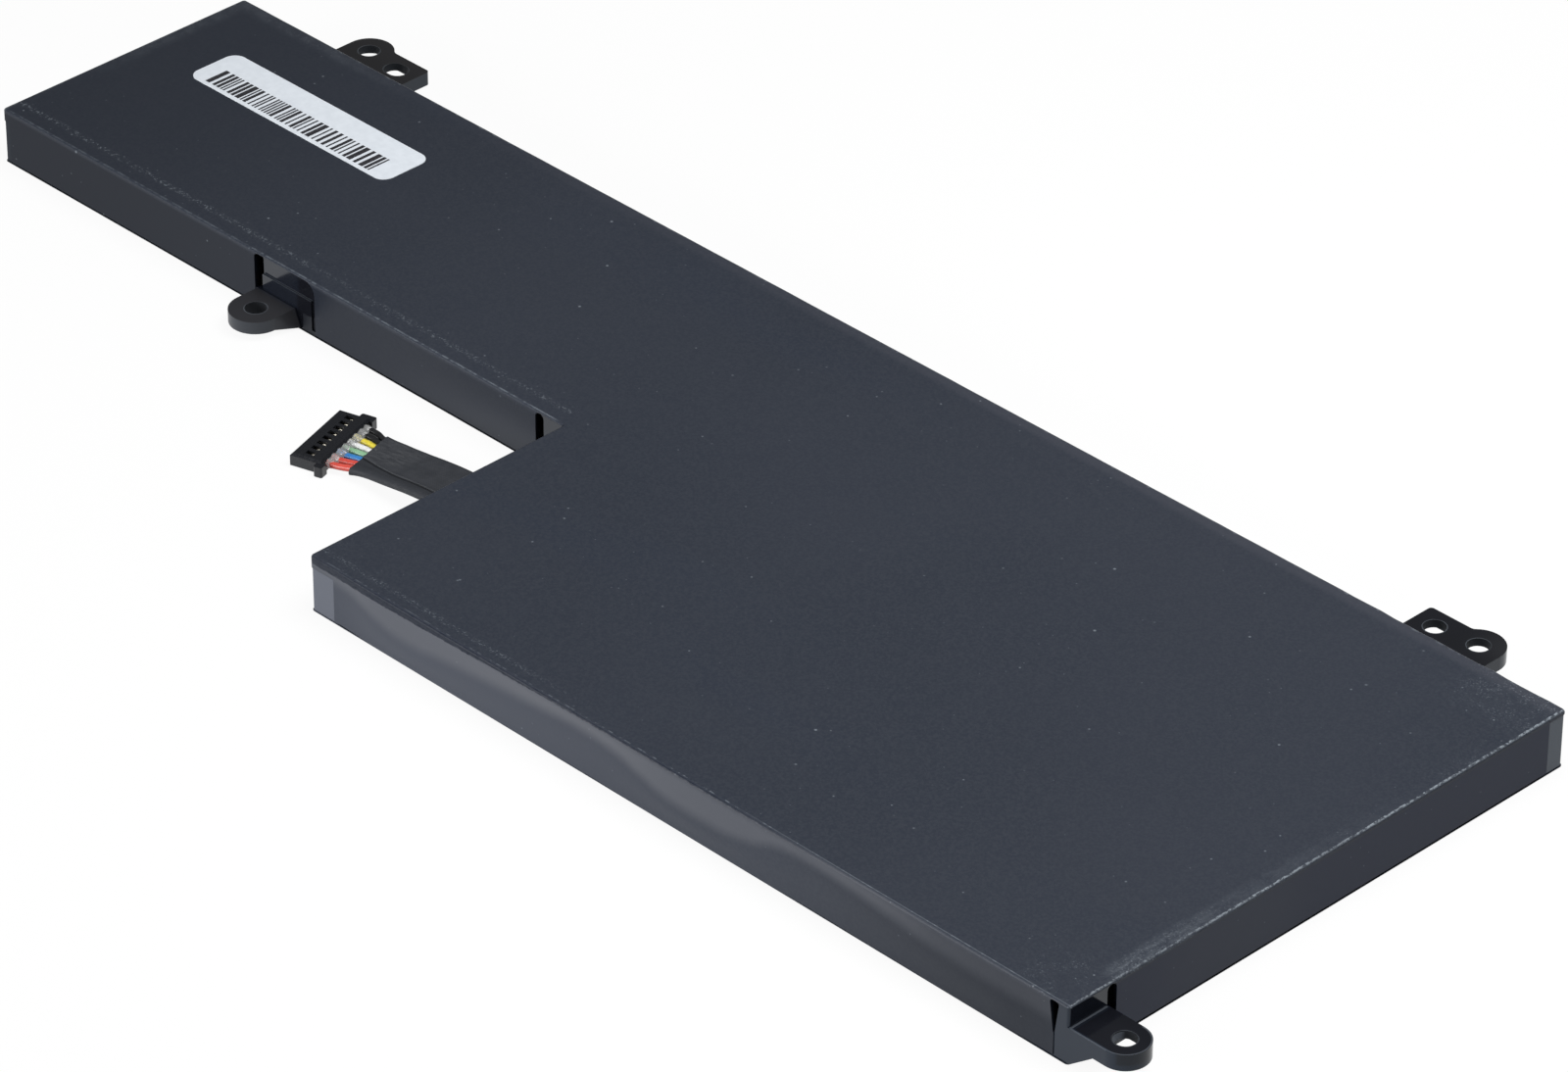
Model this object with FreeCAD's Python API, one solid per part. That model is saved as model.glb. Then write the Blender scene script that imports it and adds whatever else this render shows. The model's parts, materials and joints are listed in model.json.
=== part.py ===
import FreeCAD, Part
import math
import os

# A six-cell flat laptop battery. X runs along the pack from the end of its narrow arm,
# Y from its front edge to its back edge and Z up from its underside. All sizes are in
# millimetres. The finished solids are moved together so that the middle of the base of
# everything but the lead lies at the origin.

# Outline of the pack: a wide block with a narrower arm beside its lead
PACK_LENGTH = 268.0
PACK_WIDTH = 95.6
PACK_HEIGHT = 9.1
ARM_LENGTH = 123.3
ARM_WIDTH = 48.1
CORNER_RADIUS = 0.6
INNER_CORNER_RADIUS = 0.6

# Wrapping film, folded down over the sides in separate flaps
FILM = 0.12
FOLD_RADIUS = 0.4
FLAP_CLEARANCE = 0.35
FLAP_LIP = 0.25
CORNER_LIP = 2.0
FRONT_CORNER_STRIP = 4.8
END_CORNER_STRIP = 3.4
SMALL_CORNER_STRIP = 1.5
RELIEF_WIDTH = 1.6
RELIEF_SETBACK = 2.7
RELIEF_DEPTH = 5.2
INNER_CORNER_STRIP = 4.1

# Moulded frame
WALL = 1.1
RIB = 0.8
RIB_BASE = 1.5
RIB_DROP = 0.6
END_BAY = 2.4
WEB_PITCH = 12.0
CELL_STOP = 0.3
CELL_STOP_WIDTH = 1.6

# Screw lugs
LUG_HOLE_RADIUS = 1.65
LUG_SKIN = 1.25
LUG_SKIRT = 0.8
BACK_LUG_TOP = 6.0
BACK_LUG_THICKNESS = 2.2
BACK_LUG_OUTER_HOLE = 112.75
BACK_LUG_INNER_HOLE = 105.6
BACK_LUG_OUTER_REACH = 6.6
BACK_LUG_INNER_REACH = 5.7
BACK_LUG_LOBE_RADIUS = 3.9
BACK_LUG_END = 3.6
BACK_LUG_EDGE = 3.3
BACK_LUG_BLEND = 1.2
LEFT_SLOT_STRETCH = 0.7
CORNER_LUG_TOP = 5.8
CORNER_LUG_THICKNESS = 2.5
CORNER_LUG_RADIUS = 3.55
CORNER_LUG_REACH = 6.3
CORNER_LUG_GUSSET = 4.1
ARM_LUG_TOP = 3.2
ARM_LUG_THICKNESS = 2.0
ARM_LUG_RADIUS = 4.1
ARM_LUG_X = 62.2
ARM_LUG_REACH = 4.15
ARM_LUG_FLARE = 1.5
ARM_GAP_SIDE = 4.2
ARM_PAD_TOP = 5.7
ARM_PAD_END = 0.9
ARM_PAD_FOOT = 0.8
ARM_PAD_RISE = 0.35
SLOT_BASE = 2.8

# Pouch cells
CELL_CLEARANCE = 0.4
CELL_GAP = 0.8
CELL_BASE = 0.45
CELL_HEIGHT = 8.0
CELL_CORNER_RADIUS = 2.0
CELL_EDGE_RADIUS = 1.0
SEAM_FOLD = 0.35
SEAM_HEIGHT = 4.5
TERRACE_WIDTH = 6.5
TERRACE_THICKNESS = 0.3
TAPE_WIDTH = 10.0
TAPE_INSET = 5.0
TAB_WIDTH = 5.0
TAB_THICKNESS = 0.12
TAB_OFFSET = 14.0
TAB_BEND = 0.3
TAB_REACH = 3.4

# Flat link circuit over the cell tabs, its weld pads and its tape
FLEX = 0.15
FLEX_WIDTH = 3.6
FLEX_OVERRUN = 2.0
PAD_THICKNESS = 0.15
PAD_WIDTH = 4.2
PAD_DEPTH = 2.6
TAB_TAPE = 0.08
SENSOR_LENGTH = 2.0
SENSOR_WIDTH = 1.25
SENSOR_HEIGHT = 0.85

# Protection board beside the step and what it carries
BAY_WIDTH = 8.7
BOARD_CLEARANCE = 0.3
BOARD_END_CLEARANCE = 1.6
BOARD_THICKNESS = 0.8
BOARD_BASE = 2.4
LEDGE_WIDTH = 0.9
LEDGE_LENGTH = 6.0
FUSE_SIZE = (3.2, 5.0, 1.6)
SWITCH_SIZE = (3.4, 3.0, 0.9)
SWITCH_PITCH = 4.2
GAUGE_SIZE = (4.0, 4.4, 1.0)
SHUNT_SIZE = (3.0, 2.6, 0.7)
CAPACITOR_SIZE = (0.9, 1.7, 0.9)
CAPACITOR_PITCH = 1.6
PAPER = 0.1
FOAM_WIDTH = 4.0

# Lead: eight wires, their sleeve, and the plug with its eight terminals
WIRES = ["red_1", "red_2", "blue", "green", "white", "yellow", "black_1", "black_2"]
WIRE_RADIUS = 0.525
WIRE_PITCH = 1.1
LEAD_Y = 30.95
SOLDER_LENGTH = 1.2
SOLDER_WIDTH = 0.9
SOLDER_INSET = 2.7
# Points that the wires turn at: distance out from the step, and drop from the board
LEAD_ROUTE = [(1.2, 0.0), (8.6, 0.53), (15.3, 1.68)]
LEAD_TURN = (22.0, 2.54)
SLEEVE_END = 22.2
SLEEVE_WALL = 0.15
SLEEVE_CLEARANCE = 0.26
ROUTE_SHARE = 0.45
EXIT_CLEARANCE = 0.12
PLUG_X = 91.6
PLUG_Y = 28.7
PLUG_ANGLE = 17.1
PLUG_DEPTH = 5.3
PLUG_WIDTH = 13.5
PLUG_HEIGHT = 2.0
PLUG_EAR_WIDTH = 0.95
PLUG_EAR_ROOT = 0.5
PLUG_EAR_END = 5.8
PLUG_EAR_STARTS = {-1: 4.4, 1: 3.3}
PLUG_CHAMFER = 0.35
TERMINAL_PITCH = 1.5
CAVITY = 1.2
CAVITY_END = 0.6
TERMINAL_WIDTH = 0.9
TERMINAL_HEIGHT = 0.8
TERMINAL_END = 4.2
WINDOW_START = 1.9
WINDOW_LENGTH = 1.5
WINDOW_WIDTH = 0.85
PLUG_STRAIGHT = 1.8
GLUE_DEPTH = 1.4
GLUE_HEIGHT = 1.6
GLUE_OVERHANG = 0.35

# Barcode label on the arm
LABEL_LENGTH = 44.2
LABEL_WIDTH = 9.6
LABEL_RADIUS = 2.0
LABEL_THICKNESS = 0.08
LABEL_END = 11.8
LABEL_BACK = 12.0

# Places that follow from the sizes above
STEP_Y = PACK_WIDTH - ARM_WIDTH
SKIN = FILM + WALL
FRAME_TOP = PACK_HEIGHT - FILM
RIB_TOP = FRAME_TOP - RIB_DROP
OVER = 1.0
STEP_WALL_X = ARM_LENGTH + SKIN
BAY_END_X = STEP_WALL_X + BAY_WIDTH
ROW_END_X = PACK_LENGTH - SKIN - END_BAY - RIB
CELL_ROW_END = ROW_END_X - CELL_CLEARANCE / 2
CELL_ROW_START = SKIN + END_BAY + RIB + CELL_CLEARANCE / 2
FRONT_ROW_START = BAY_END_X + RIB + CELL_CLEARANCE / 2
CELL_LENGTH = min(
    (CELL_ROW_END - CELL_ROW_START - 3 * CELL_GAP) / 4,
    (CELL_ROW_END - FRONT_ROW_START - CELL_GAP) / 2,
)
CELL_DEPTH = min(ARM_WIDTH - 2 * SKIN, STEP_Y - SKIN) - 2 * CELL_CLEARANCE
TERRACE_TOP = CELL_BASE + TERRACE_THICKNESS
TAB_TOP = TERRACE_TOP + TAB_THICKNESS
FLEX_TOP = TAB_TOP + FLEX
PAD_TOP = FLEX_TOP + PAD_THICKNESS
CELL_TOP = CELL_BASE + CELL_HEIGHT
BOARD_TOP = BOARD_BASE + BOARD_THICKNESS
BOARD_X = STEP_WALL_X + BOARD_CLEARANCE
BOARD_WIDTH = BAY_WIDTH - 2 * BOARD_CLEARANCE
BOARD_Y = SKIN + BOARD_END_CLEARANCE
BOARD_END_Y = STEP_Y - BOARD_END_CLEARANCE
WIRE_START_X = BOARD_X + SOLDER_INSET + SOLDER_LENGTH
WIRE_BASE_Z = BOARD_TOP + WIRE_RADIUS
PLUG_MIDDLE = (len(WIRES) - 1) / 2


def box(x0, x1, y0, y1, z0, z1):
    return Part.makeBox(x1 - x0, y1 - y0, z1 - z0, FreeCAD.Vector(x0, y0, z0))


def on_floor(a, b, height=0.0):
    return FreeCAD.Vector(a, b, height)


def on_front(a, b, depth=0.0):
    return FreeCAD.Vector(a, depth, b)


def on_side(a, b, depth=0.0):
    return FreeCAD.Vector(depth, a, b)


def rounded_face(corners, place=on_floor, level=0.0):
    """A flat face with one arc at each corner: a corner is (a, b, radius)."""
    points = [place(a, b, level) for a, b, _ in corners]
    edges = []
    ends = []
    for index, corner in enumerate(corners):
        point = points[index]
        back = (points[index - 1] - point).normalize()
        ahead = (points[(index + 1) % len(points)] - point).normalize()
        radius = corner[2]
        if radius < 1e-6:
            ends.append((point, point))
            continue
        half = back.getAngle(ahead) / 2
        start = point + back * (radius / math.tan(half))
        end = point + ahead * (radius / math.tan(half))
        centre = point + (back + ahead).normalize() * (radius / math.sin(half))
        middle = centre + (point - centre).normalize() * radius
        edges.append(Part.Arc(start, middle, end).toShape())
        ends.append((start, end))
    for index, (_, leave) in enumerate(ends):
        arrive = ends[(index + 1) % len(ends)][0]
        if (arrive - leave).Length > 1e-6:
            edges.append(Part.LineSegment(leave, arrive).toShape())
    wire = Part.Wire(Part.__sortEdges__(edges))
    return Part.Face(wire)


def plate(corners, z0, z1):
    return rounded_face(corners, on_floor, z0).extrude(FreeCAD.Vector(0, 0, z1 - z0))


def front_plate(corners, y0, y1):
    return rounded_face(corners, on_front, y0).extrude(FreeCAD.Vector(0, y1 - y0, 0))


def side_plate(corners, x0, x1):
    return rounded_face(corners, on_side, x0).extrude(FreeCAD.Vector(x1 - x0, 0, 0))


def rectangle(a0, a1, b0, b1, radius=0.0):
    return [(a0, b0, radius), (a1, b0, radius), (a1, b1, radius), (a0, b1, radius)]


def round_edges(shape, radius, wanted):
    """Fillet the edges for which wanted(edge) is true."""
    return shape.makeFillet(radius, [edge for edge in shape.Edges if wanted(edge)])


def at_height(z):
    return lambda edge: all(abs(vertex.Z - z) < 1e-5 for vertex in edge.Vertexes)


def join(shapes):
    result = shapes[0].multiFuse(shapes[1:]) if len(shapes) > 1 else shapes[0]
    return result.removeSplitter()


def pack_outline(inset):
    """The L-shaped outline, moved inwards by inset on every side."""
    outer = max(CORNER_RADIUS - inset, 0.2)
    inner = INNER_CORNER_RADIUS + inset
    left, right = inset, PACK_LENGTH - inset
    front, back = inset, PACK_WIDTH - inset
    step_x, step_y = ARM_LENGTH + inset, STEP_Y + inset
    return [
        (step_x, front, outer), (right, front, outer), (right, back, outer),
        (left, back, outer), (left, step_y, outer), (step_x, step_y, inner),
    ]


def pack_block(inset, z0, z1, fold):
    block = plate(pack_outline(inset), z0, z1)
    return round_edges(block, fold, at_height(z1))


def flap_gap_front(a0, a1, y, top, left=0.0, right=0.0):
    """A cut through a flap that faces the front or back, open at its foot."""
    corners = [(a0, -OVER, 0), (a1, -OVER, 0), (a1, top, right), (a0, top, left)]
    return front_plate(corners, y - OVER, y + OVER)


def flap_gap_side(a0, a1, x, top, left=0.0, right=0.0):
    corners = [(a0, -OVER, 0), (a1, -OVER, 0), (a1, top, right), (a0, top, left)]
    return side_plate(corners, x - OVER, x + OVER)


def back_lug_x(offset, side):
    return PACK_LENGTH / 2 + side * offset


def arm_gap_span():
    """The film's gap round the arm's lug, which begins with a relief slot."""
    left = ARM_LUG_X - ARM_LUG_RADIUS - RELIEF_WIDTH / 2
    return left, ARM_LUG_X + ARM_LUG_RADIUS + ARM_GAP_SIDE


def corner_gap_end():
    """Far side of the film's gap round the corner lug, which ends with a relief slot."""
    return 2 * CORNER_LUG_RADIUS + RELIEF_WIDTH


def inner_slot_x():
    return ARM_LENGTH - INNER_CORNER_STRIP - RELIEF_WIDTH


def teardrop(top):
    """Corners of the tapering relief in the front face, beside the corner lug."""
    middle = PACK_LENGTH - RELIEF_SETBACK
    half = RELIEF_WIDTH / 2
    foot = PACK_HEIGHT - RELIEF_DEPTH
    return [(middle - 0.1, foot, 0), (middle + 0.1, foot, 0),
            (middle + half, top, half / 2), (middle - half, top, half / 2)]


def left_stretch(side):
    """Extra length of the back left lug's inner hole, which is a slot along the edge."""
    return LEFT_SLOT_STRETCH if side < 0 else 0.0


def back_lug_end(side):
    """Distance from a back lug's inner hole to its inner end."""
    return BACK_LUG_END + left_stretch(side) / 2


def back_lug_span(side):
    far = back_lug_x(BACK_LUG_OUTER_HOLE + BACK_LUG_LOBE_RADIUS, side)
    near = back_lug_x(BACK_LUG_INNER_HOLE - back_lug_end(side), side)
    return min(far, near), max(far, near)


def lead_span(margin):
    half = PLUG_MIDDLE * WIRE_PITCH + WIRE_RADIUS + margin
    return LEAD_Y - half, LEAD_Y + half


def wrap_gaps():
    """Cuts that part the film's side flaps and let the lugs and the lead out."""
    lip = PACK_HEIGHT - FLAP_LIP
    corner_top = PACK_HEIGHT - CORNER_LIP
    half_slot = RELIEF_WIDTH * 0.49
    arm_left, arm_right = arm_gap_span()
    exit_front, exit_back = lead_span(SLEEVE_CLEARANCE + SLEEVE_WALL + 2 * EXIT_CLEARANCE)
    exit_top = WIRE_BASE_Z + WIRE_RADIUS + SLEEVE_CLEARANCE + SLEEVE_WALL + 2 * EXIT_CLEARANCE
    gaps = [
        flap_gap_front(arm_left, arm_right, STEP_Y, lip, half_slot, 2.0),
        flap_gap_side(-OVER, corner_gap_end(), PACK_LENGTH, lip, 0, half_slot),
        front_plate(teardrop(lip), -OVER, OVER),
        box(PACK_LENGTH - RELIEF_SETBACK, PACK_LENGTH + OVER, -OVER, OVER, -OVER, lip),
        box(ARM_LENGTH - OVER, ARM_LENGTH + FRONT_CORNER_STRIP, -OVER, SMALL_CORNER_STRIP, -OVER, corner_top),
        box(-OVER, SMALL_CORNER_STRIP, STEP_Y - OVER, STEP_Y + END_CORNER_STRIP, -OVER, corner_top),
        box(-OVER, END_CORNER_STRIP, PACK_WIDTH - END_CORNER_STRIP, PACK_WIDTH + OVER, -OVER, corner_top),
        box(PACK_LENGTH - END_CORNER_STRIP, PACK_LENGTH + OVER,
            PACK_WIDTH - END_CORNER_STRIP, PACK_WIDTH + OVER, -OVER, corner_top + FLAP_LIP * 2),
        flap_gap_front(inner_slot_x(), ARM_LENGTH + OVER, STEP_Y, lip, half_slot),
        flap_gap_side(STEP_Y - INNER_CORNER_STRIP, STEP_Y + OVER, ARM_LENGTH, lip, half_slot),
        flap_gap_side(exit_front, exit_back, ARM_LENGTH, exit_top, 0.4, 0.4),
    ]
    for side in (-1, 1):
        low, high = back_lug_span(side)
        gaps.append(flap_gap_front(low, high, PACK_WIDTH, lip, half_slot, half_slot))
    return gaps


def make_top_film():
    outside = pack_block(0.0, FLAP_CLEARANCE, PACK_HEIGHT, FOLD_RADIUS)
    inside = pack_block(FILM, 0.0, FRAME_TOP, FOLD_RADIUS - FILM)
    return outside.cut([inside] + wrap_gaps())


def make_bottom_film():
    return plate(pack_outline(0.0), 0.0, FILM)


def back_lug(side):
    """Two-hole lug on the back edge, cored from below, in line with its round outer lobe."""
    root = PACK_WIDTH - SKIN
    outer_x = back_lug_x(BACK_LUG_OUTER_HOLE, side)
    inner_x = back_lug_x(BACK_LUG_INNER_HOLE, side)
    outer_y = PACK_WIDTH + BACK_LUG_OUTER_REACH
    inner_y = PACK_WIDTH + BACK_LUG_INNER_REACH
    base = BACK_LUG_TOP - BACK_LUG_THICKNESS

    def outline(inset, z0, z1):
        edge = inner_y + BACK_LUG_EDGE - inset
        end = inner_x - side * (back_lug_end(side) - inset)
        lobe_side = outer_x + side * (BACK_LUG_LOBE_RADIUS - inset)
        first, last = sorted((outer_x, end))
        corners = [(first, root, 0), (last, root, 0)]
        corners += [(x, edge, 0.6 if x == end else 0) for x in (last, first)]
        arm = plate(corners, z0, z1)
        shank = box(*sorted((outer_x, lobe_side)), root, outer_y, z0, z1)
        lobe = Part.makeCylinder(BACK_LUG_LOBE_RADIUS - inset, z1 - z0, FreeCAD.Vector(outer_x, outer_y, z0))
        blank = join([arm, shank, lobe])
        rise = edge - outer_y
        run = math.sqrt((BACK_LUG_LOBE_RADIUS - inset) ** 2 - rise ** 2)
        meet_x = outer_x - side * run

        def in_the_notch(e):
            return all(abs(v.X - meet_x) < 1e-4 and abs(v.Y - edge) < 1e-4 for v in e.Vertexes)

        return round_edges(blank, BACK_LUG_BLEND, in_the_notch)

    blank = outline(0.0, base, BACK_LUG_TOP)
    core = outline(LUG_SKIRT, base - OVER, BACK_LUG_TOP - LUG_SKIN)
    keep = box(-OVER, PACK_LENGTH + OVER, root, PACK_WIDTH - FILM + LUG_SKIRT, 0, PACK_HEIGHT)
    half = left_stretch(side) / 2
    holes = [
        Part.makeCylinder(LUG_HOLE_RADIUS, PACK_HEIGHT, FreeCAD.Vector(x, y, 0))
        for x, y in ((outer_x, outer_y), (inner_x - half, inner_y), (inner_x + half, inner_y))
    ]
    if half:
        holes.append(box(inner_x - half, inner_x + half, inner_y - LUG_HOLE_RADIUS,
                         inner_y + LUG_HOLE_RADIUS, 0, PACK_HEIGHT))
    return blank.cut(core.cut(keep)).cut(holes)


def corner_lug():
    """Lug that carries on the front face past the right end, with a gusset under its root."""
    root = PACK_LENGTH - SKIN
    centre_x = PACK_LENGTH + CORNER_LUG_REACH
    centre_y = FILM + CORNER_LUG_RADIUS
    base = CORNER_LUG_TOP - CORNER_LUG_THICKNESS

    def outline(inset, z0, z1):
        radius = CORNER_LUG_RADIUS - inset
        strip = box(root, centre_x, centre_y - radius, centre_y + radius, z0, z1)
        tip = Part.makeCylinder(radius, z1 - z0, FreeCAD.Vector(centre_x, centre_y, z0))
        return join([strip, tip])

    blank = outline(0.0, base, CORNER_LUG_TOP)
    core = outline(LUG_SKIRT, base - OVER, CORNER_LUG_TOP - LUG_SKIN)
    reach = box(PACK_LENGTH + CORNER_LUG_GUSSET, PACK_LENGTH + PACK_WIDTH, 0, PACK_WIDTH, 0, PACK_HEIGHT)
    gusset = front_plate(
        [(PACK_LENGTH - SKIN, FILM, 0), (PACK_LENGTH, FILM, 0),
         (PACK_LENGTH + CORNER_LUG_GUSSET, base, 0), (PACK_LENGTH - SKIN, base, 0)],
        FILM, FILM + 2 * CORNER_LUG_RADIUS)
    hole = Part.makeCylinder(LUG_HOLE_RADIUS, PACK_HEIGHT, FreeCAD.Vector(centre_x, centre_y, 0))
    return join([blank.cut(core.common(reach)), gusset]).cut(hole)


def arm_lug():
    """Flat lug low on the arm's front face; its neck deepens and flares right towards its root."""
    root = STEP_Y + FILM + WALL
    centre_y = STEP_Y - ARM_LUG_REACH
    left, right = ARM_LUG_X - ARM_LUG_RADIUS, ARM_LUG_X + ARM_LUG_RADIUS
    base = ARM_LUG_TOP - ARM_LUG_THICKNESS
    tip = Part.makeCylinder(ARM_LUG_RADIUS, ARM_LUG_THICKNESS, FreeCAD.Vector(ARM_LUG_X, centre_y, base))
    sections = []
    for y, flare, low in ((centre_y, 0.0, base), (root, ARM_LUG_FLARE, FILM)):
        points = [FreeCAD.Vector(x, y, z) for x, z in (
            (left, ARM_LUG_TOP), (left, low), (right + flare, low), (right, ARM_LUG_TOP))]
        sections.append(Part.makePolygon(points + points[:1]))
    neck = Part.makeLoft(sections, True, True)
    hole = Part.makeCylinder(LUG_HOLE_RADIUS, PACK_HEIGHT, FreeCAD.Vector(ARM_LUG_X, centre_y, 0))
    return join([neck, tip]).cut(hole)


def cell_stops():
    """Small upright ribs on the walls that keep the cell rows off the frame."""
    stops = []
    back = PACK_WIDTH - SKIN
    for x in [cell_x(column) + share * CELL_LENGTH for column in range(4) for share in (0.25, 0.75)]:
        stops.append(box(x - CELL_STOP_WIDTH / 2, x + CELL_STOP_WIDTH / 2, back - CELL_STOP, back + CELL_STOP,
                         RIB_BASE, RIB_TOP))
    for x in [cell_x(column) + share * CELL_LENGTH for column in (2, 3) for share in (0.25, 0.75)]:
        stops.append(box(x - CELL_STOP_WIDTH / 2, x + CELL_STOP_WIDTH / 2, SKIN - CELL_STOP, SKIN + CELL_STOP,
                         RIB_BASE, RIB_TOP))
    return stops


def end_bays():
    """Cross ribs that end the cell rows, tied to the end walls by short webs."""
    parts = []
    bays = [
        (SKIN + END_BAY, SKIN, STEP_Y + SKIN, PACK_WIDTH - SKIN),
        (ROW_END_X, PACK_LENGTH - SKIN, SKIN, PACK_WIDTH - SKIN),
    ]
    for rib_x, wall_x, front, back in bays:
        parts.append(box(rib_x, rib_x + RIB, front - CELL_STOP, back + CELL_STOP, FILM, RIB_TOP))
        count = int((back - front) / WEB_PITCH)
        for index in range(1, count):
            y = back - index * WEB_PITCH
            low, high = sorted((rib_x + RIB / 2, wall_x))
            parts.append(box(low - RIB / 4, high + RIB / 4, y, y + RIB, RIB_BASE, RIB_TOP))
    return parts


def row_ribs():
    """The rib between the two cell rows and the one that closes the board's bay."""
    return [
        box(STEP_WALL_X - RIB, ROW_END_X + RIB / 2, STEP_Y + FILM, STEP_Y + FILM + RIB, RIB_BASE, RIB_TOP),
        box(BAY_END_X, BAY_END_X + RIB, SKIN - CELL_STOP, STEP_Y + FILM + RIB / 2, RIB_BASE, RIB_TOP),
    ]


def board_ledges():
    """Ledges under the board's corners, on the step wall and on the bay's rib."""
    ledges = []
    for front in (BOARD_Y + RIB, BOARD_END_Y - RIB - LEDGE_LENGTH):
        back = front + LEDGE_LENGTH
        ledges.append(box(STEP_WALL_X - RIB, STEP_WALL_X + LEDGE_WIDTH, front, back, RIB_BASE, BOARD_BASE))
        ledges.append(box(BAY_END_X - LEDGE_WIDTH, BAY_END_X + RIB / 2, front, back, RIB_BASE, BOARD_BASE))
    return ledges


def frame_openings():
    """Relief slots, the sunk edge round the raised pad of the arm's lug, and the lead's exit."""
    lip = FRAME_TOP - FLAP_LIP
    half_slot = RELIEF_WIDTH * 0.49
    arm_left, arm_right = arm_gap_span()
    corner_end = corner_gap_end()
    exit_front, exit_back = lead_span(SLEEVE_CLEARANCE + SLEEVE_WALL + EXIT_CLEARANCE)
    sleeve_half = WIRE_RADIUS + SLEEVE_CLEARANCE + SLEEVE_WALL + EXIT_CLEARANCE

    def slot(start):
        return [(start, SLOT_BASE, 0), (start + RELIEF_WIDTH, SLOT_BASE, 0),
                (start + RELIEF_WIDTH, lip, half_slot), (start, lip, half_slot)]

    pad_left, pad_right = arm_left + RELIEF_WIDTH / 2, arm_right - ARM_PAD_END
    round_pad = [
        (pad_left, ARM_PAD_TOP, 0), (pad_right, ARM_PAD_TOP, 0), (pad_right, ARM_PAD_FOOT, 0),
        (arm_right, ARM_PAD_FOOT, 0), (arm_right, lip, 2.0), (pad_left, lip, 0),
    ]
    return [
        front_plate(slot(arm_left), STEP_Y - OVER, STEP_Y + SKIN + OVER),
        front_plate(slot(inner_slot_x()), STEP_Y - OVER, STEP_Y + SKIN + OVER),
        side_plate(slot(corner_end - RELIEF_WIDTH), PACK_LENGTH - SKIN - OVER, PACK_LENGTH + OVER),
        front_plate(teardrop(lip), -OVER, SKIN + OVER),
        front_plate(round_pad, STEP_Y - OVER, STEP_Y + FILM + ARM_PAD_RISE),
        box(ARM_LENGTH - OVER, STEP_WALL_X, exit_front, exit_back,
            WIRE_BASE_Z - sleeve_half, WIRE_BASE_Z + sleeve_half),
    ]


def make_frame():
    """One moulding: outer walls, cross ribs, cell stops, board ledges and four screw lugs."""
    outside = pack_block(FILM, FILM, FRAME_TOP, FOLD_RADIUS - FILM)
    walls = outside.cut(plate(pack_outline(SKIN), FILM - OVER, PACK_HEIGHT))
    inside_parts = row_ribs() + end_bays() + board_ledges() + cell_stops()
    body = join([walls] + inside_parts).cut(frame_openings())
    lugs = [back_lug(-1), back_lug(1), corner_lug(), arm_lug()]
    return join([body] + lugs)


def cell_x(column):
    """Left end of the cell in a column; columns 2 and 3 hold two cells each."""
    return CELL_ROW_END - (4 - column) * CELL_LENGTH - (3 - column) * CELL_GAP


def cell_places():
    """For each cell: its left end, the y of its thick side's face and the way to its terrace."""
    back_y = PACK_WIDTH - SKIN - CELL_CLEARANCE
    front_y = SKIN + CELL_CLEARANCE
    places = [(cell_x(column), back_y, -1) for column in range(4)]
    return places + [(cell_x(column), front_y, 1) for column in (2, 3)]


def make_cell(x, y, way):
    """A pouch cell: a drawn cup, its side seams folded up and the flat terrace of its tabs."""
    thick = CELL_DEPTH - TERRACE_WIDTH
    low, high = sorted((y, y + way * thick))
    cup = plate(rectangle(x + SEAM_FOLD, x + CELL_LENGTH - SEAM_FOLD, low, high, CELL_CORNER_RADIUS),
                CELL_BASE, CELL_TOP)
    cup = round_edges(cup, CELL_EDGE_RADIUS, at_height(CELL_TOP))
    sheet_low, sheet_high = sorted((y + way * CELL_CORNER_RADIUS, y + way * CELL_DEPTH))
    sheet = plate(rectangle(x, x + CELL_LENGTH, sheet_low, sheet_high), CELL_BASE, TERRACE_TOP)
    seam_low, seam_high = sorted((y + way * CELL_CORNER_RADIUS, y + way * (thick - CELL_CORNER_RADIUS)))
    seams = [
        box(x, x + SEAM_FOLD, seam_low, seam_high, CELL_BASE, CELL_BASE + SEAM_HEIGHT),
        box(x + CELL_LENGTH - SEAM_FOLD, x + CELL_LENGTH, seam_low, seam_high,
            CELL_BASE, CELL_BASE + SEAM_HEIGHT),
    ]
    return join([cup, sheet] + seams)


def tab_centres(sign):
    """Middle of each cell's tab of one polarity, with the terrace's edge and its outward way."""
    centres = []
    for x, y, way in cell_places():
        side = sign * way
        centres.append((x + CELL_LENGTH / 2 + side * TAB_OFFSET, y + way * CELL_DEPTH, way))
    return centres


def make_tab(x, edge_y, way):
    """A strip that leaves the terrace's edge and is folded back over it."""
    out = edge_y + way * TAB_BEND
    back = edge_y - way * TAB_REACH
    low = CELL_BASE + (TERRACE_THICKNESS - TAB_THICKNESS) / 2
    profile = [
        (edge_y, low, 0), (out, low, TAB_THICKNESS), (out, TAB_TOP, TAB_THICKNESS), (back, TAB_TOP, 0),
        (back, TERRACE_TOP, 0), (out - way * TAB_THICKNESS, TERRACE_TOP, 0),
        (out - way * TAB_THICKNESS, low + TAB_THICKNESS, 0), (edge_y, low + TAB_THICKNESS, 0),
    ]
    return side_plate(profile, x - TAB_WIDTH / 2, x + TAB_WIDTH / 2)


def flex_middle(way):
    """Middle line of the link circuit over a row of tabs."""
    edge = next(y + w * CELL_DEPTH for _, y, w in cell_places() if w == way)
    return edge - way * TAB_REACH / 2


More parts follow.
